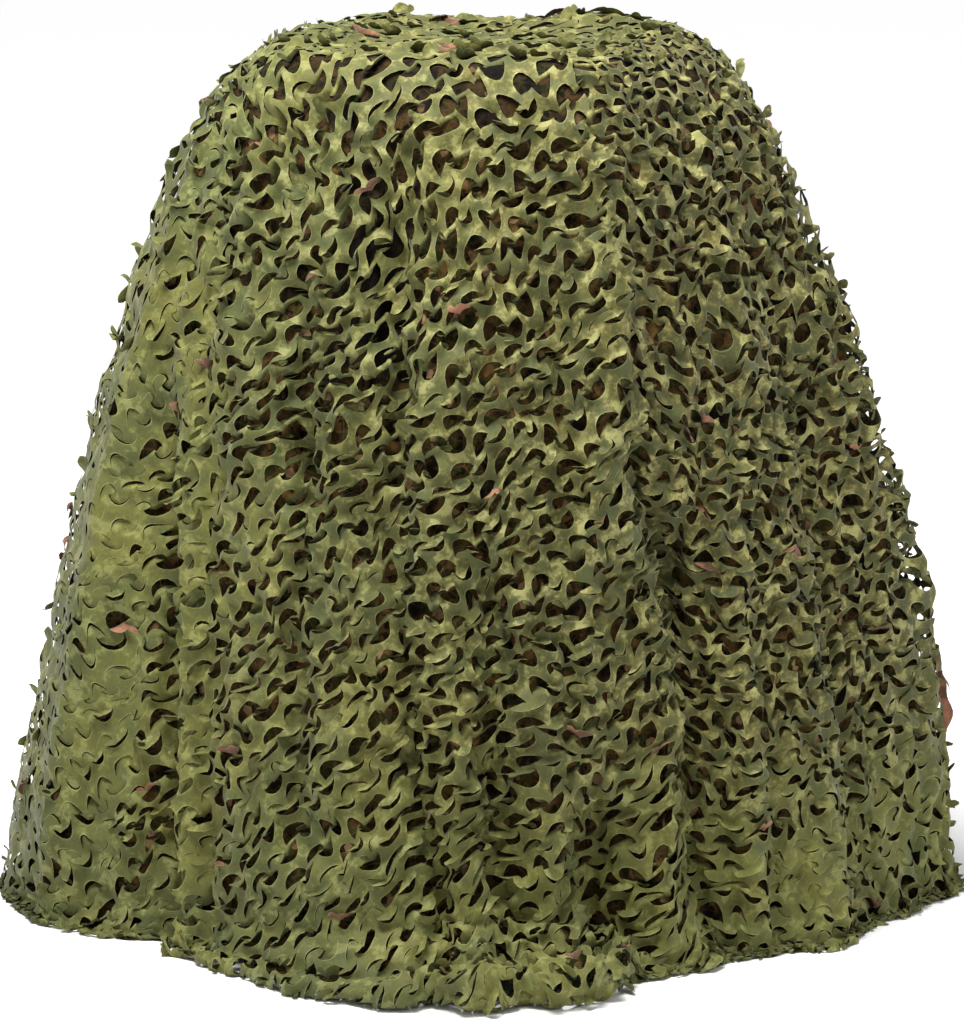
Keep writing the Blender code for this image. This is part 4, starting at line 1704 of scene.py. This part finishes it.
# painted shade between the threads
colour = cloth.mix(fine.step(0.35, 0.75) * 0.18, colour, THREAD_GAP_SHADE)
cloth.feed(cloth.shader.inputs["Base Color"], colour)
wrinkles = cloth.noise(cloth.place((1.0, 1.0, 0.7), (0.0, 0.3, 0.0)), 120.0, 2.0)
cloth.bump(wrinkles * (printed * 0.8 + 1.0) + fine * 0.25, 0.60, 0.0024)
print("net cloth:", len(cloth.tree.nodes), "nodes")

# %% [markdown]
# The lining's finish
#
# Seen through a hole the size of a bean, crumpled cloth is a mosaic: small facets, each of one tone,
# with a few pale and a few green ones. A Voronoi pattern gives the facets their tones, which paint the
# light and shade of the crumples on the brown cloth, and a second one their edges; soft noise paints
# deep shade over whole patches, and the lining is painted darker still in one gap of the folds and on
# top.

# %% Lining cloth
# brown cloth, its facets painted lit and shaded
FACET_BROWNS_AND_SHADE = (srgb(24, 18, 6), srgb(88, 66, 34))
# painted deep shade on the lining
PAINTED_SHADE_TONE = srgb(6, 5, 7)

inner = Finish("lining cloth", 0.95, shine=0.1)
at = inner.place()
patches = inner.noise(at, 30.0, 3.0)
shade_noise = inner.noise(at, 75.0, 3.0)
shards = inner.add(
    "ShaderNodeTexVoronoi", {"feature": "F1"}, {"Vector": at, "Scale": 95.0, "Randomness": 1.0}
)
shade = inner.part(shards.outputs["Color"], 0)
hue = inner.part(shards.outputs["Color"], 1)
edges = inner.add(
    "ShaderNodeTexVoronoi", {"feature": "DISTANCE_TO_EDGE"}, {"Vector": at, "Scale": 60.0}
)
rim = Signal(inner, edges.outputs["Distance"])
INNER_LAYERS = (
    # pattern, where it starts and is full, its share, colour
    (hue, 0.62, 0.70, 0.8, srgb(44, 50, 20)),
    # painted deep shade
    (1.0 - shade_noise, 0.56, 0.66, 0.9, srgb(9, 7, 2)),
    (hue, 0.93, 0.95, 0.8, srgb(140, 112, 80)),
    (1.0 - rim, 0.93, 0.99, 0.4, srgb(96, 76, 46)),
    # painted deep shade
    (patches, 0.50, 0.64, 0.8, srgb(8, 6, 5)),
)
ground = inner.mix(shade, *FACET_BROWNS_AND_SHADE)
for pattern, low, high, share, tone in INNER_LAYERS:
    ground = inner.mix(pattern.step(low, high) * share, ground, tone)
# painted deep shade: near black in one gap of the folds and on top
ground = inner.mix(inner.fact("painted_shade") * 0.92, ground, PAINTED_SHADE_TONE)
inner.feed(inner.shader.inputs["Base Color"], ground)
inner.bump(shade_noise + shade * 0.5, 0.8, 0.004)
print("lining cloth:", len(inner.tree.nodes), "nodes")

# %% [markdown]
# Wood and floor
#
# The table is pale wood: noise stretched sixty to one along the legs gives the grain. The floor is
# matt white and, beyond the dome, glows a little, so that it runs into the white room with no
# line between them while the dome's own soft shadow stays.

# %% Wood and floor
GRAIN = (srgb(206, 170, 122), srgb(168, 126, 82))
FLOOR_GREY = (0.90, 0.90, 0.90, 1.0)
GLOW_FROM = 0.52
GLOW_FULL = 1.05
GLOW = (0.52, 0.52, 0.52)

wood = Finish("pale wood", 0.5)
grain = wood.noise(wood.place((60.0, 60.0, 2.5)), 1.0, 4.0)
wood.feed(wood.shader.inputs["Base Color"], wood.mix(grain.step(0.35, 0.7), *GRAIN))
wood.bump(grain, 0.15, 0.001)

matt = Finish("floor", 0.9)
matt.shader.inputs["Base Color"].default_value = FLOOR_GREY
matt.shader.inputs["Emission Strength"].default_value = 1.0
away = matt.add(
    "ShaderNodeVectorMath", {"operation": "LENGTH"}, {0: matt.place((1.0, 1.0, 0.0))}
)
far = Signal(matt, away.outputs["Value"]).step(GLOW_FROM, GLOW_FULL)
matt.feed(matt.shader.inputs["Emission Color"], matt.mix(far, (0.0, 0.0, 0.0), GLOW))
floor.data.materials.append(matt.material)
print("floor glows from", GLOW_FROM, "m out")

# %% [markdown]
# Finishing each piece
#
# Each net piece replaces the imported net, which is hidden, and gets the cloth finish; the lining gets
# its own, and all of them hang on the root body. The table keeps its imported solids and only gets the
# wood.

for name, piece in net_pieces.items():
    piece.data.materials.append(cloth.material)
    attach(piece, "root")
    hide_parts("net")

lining.data.materials.append(inner.material)
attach(lining, "root")
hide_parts("net")

for name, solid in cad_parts.items():
    if name != "net":
        for slot_number in range(len(solid.material_slots)):
            solid.material_slots[slot_number].material = wood.material
print("pieces:", ", ".join(net_pieces), "and", lining.name)
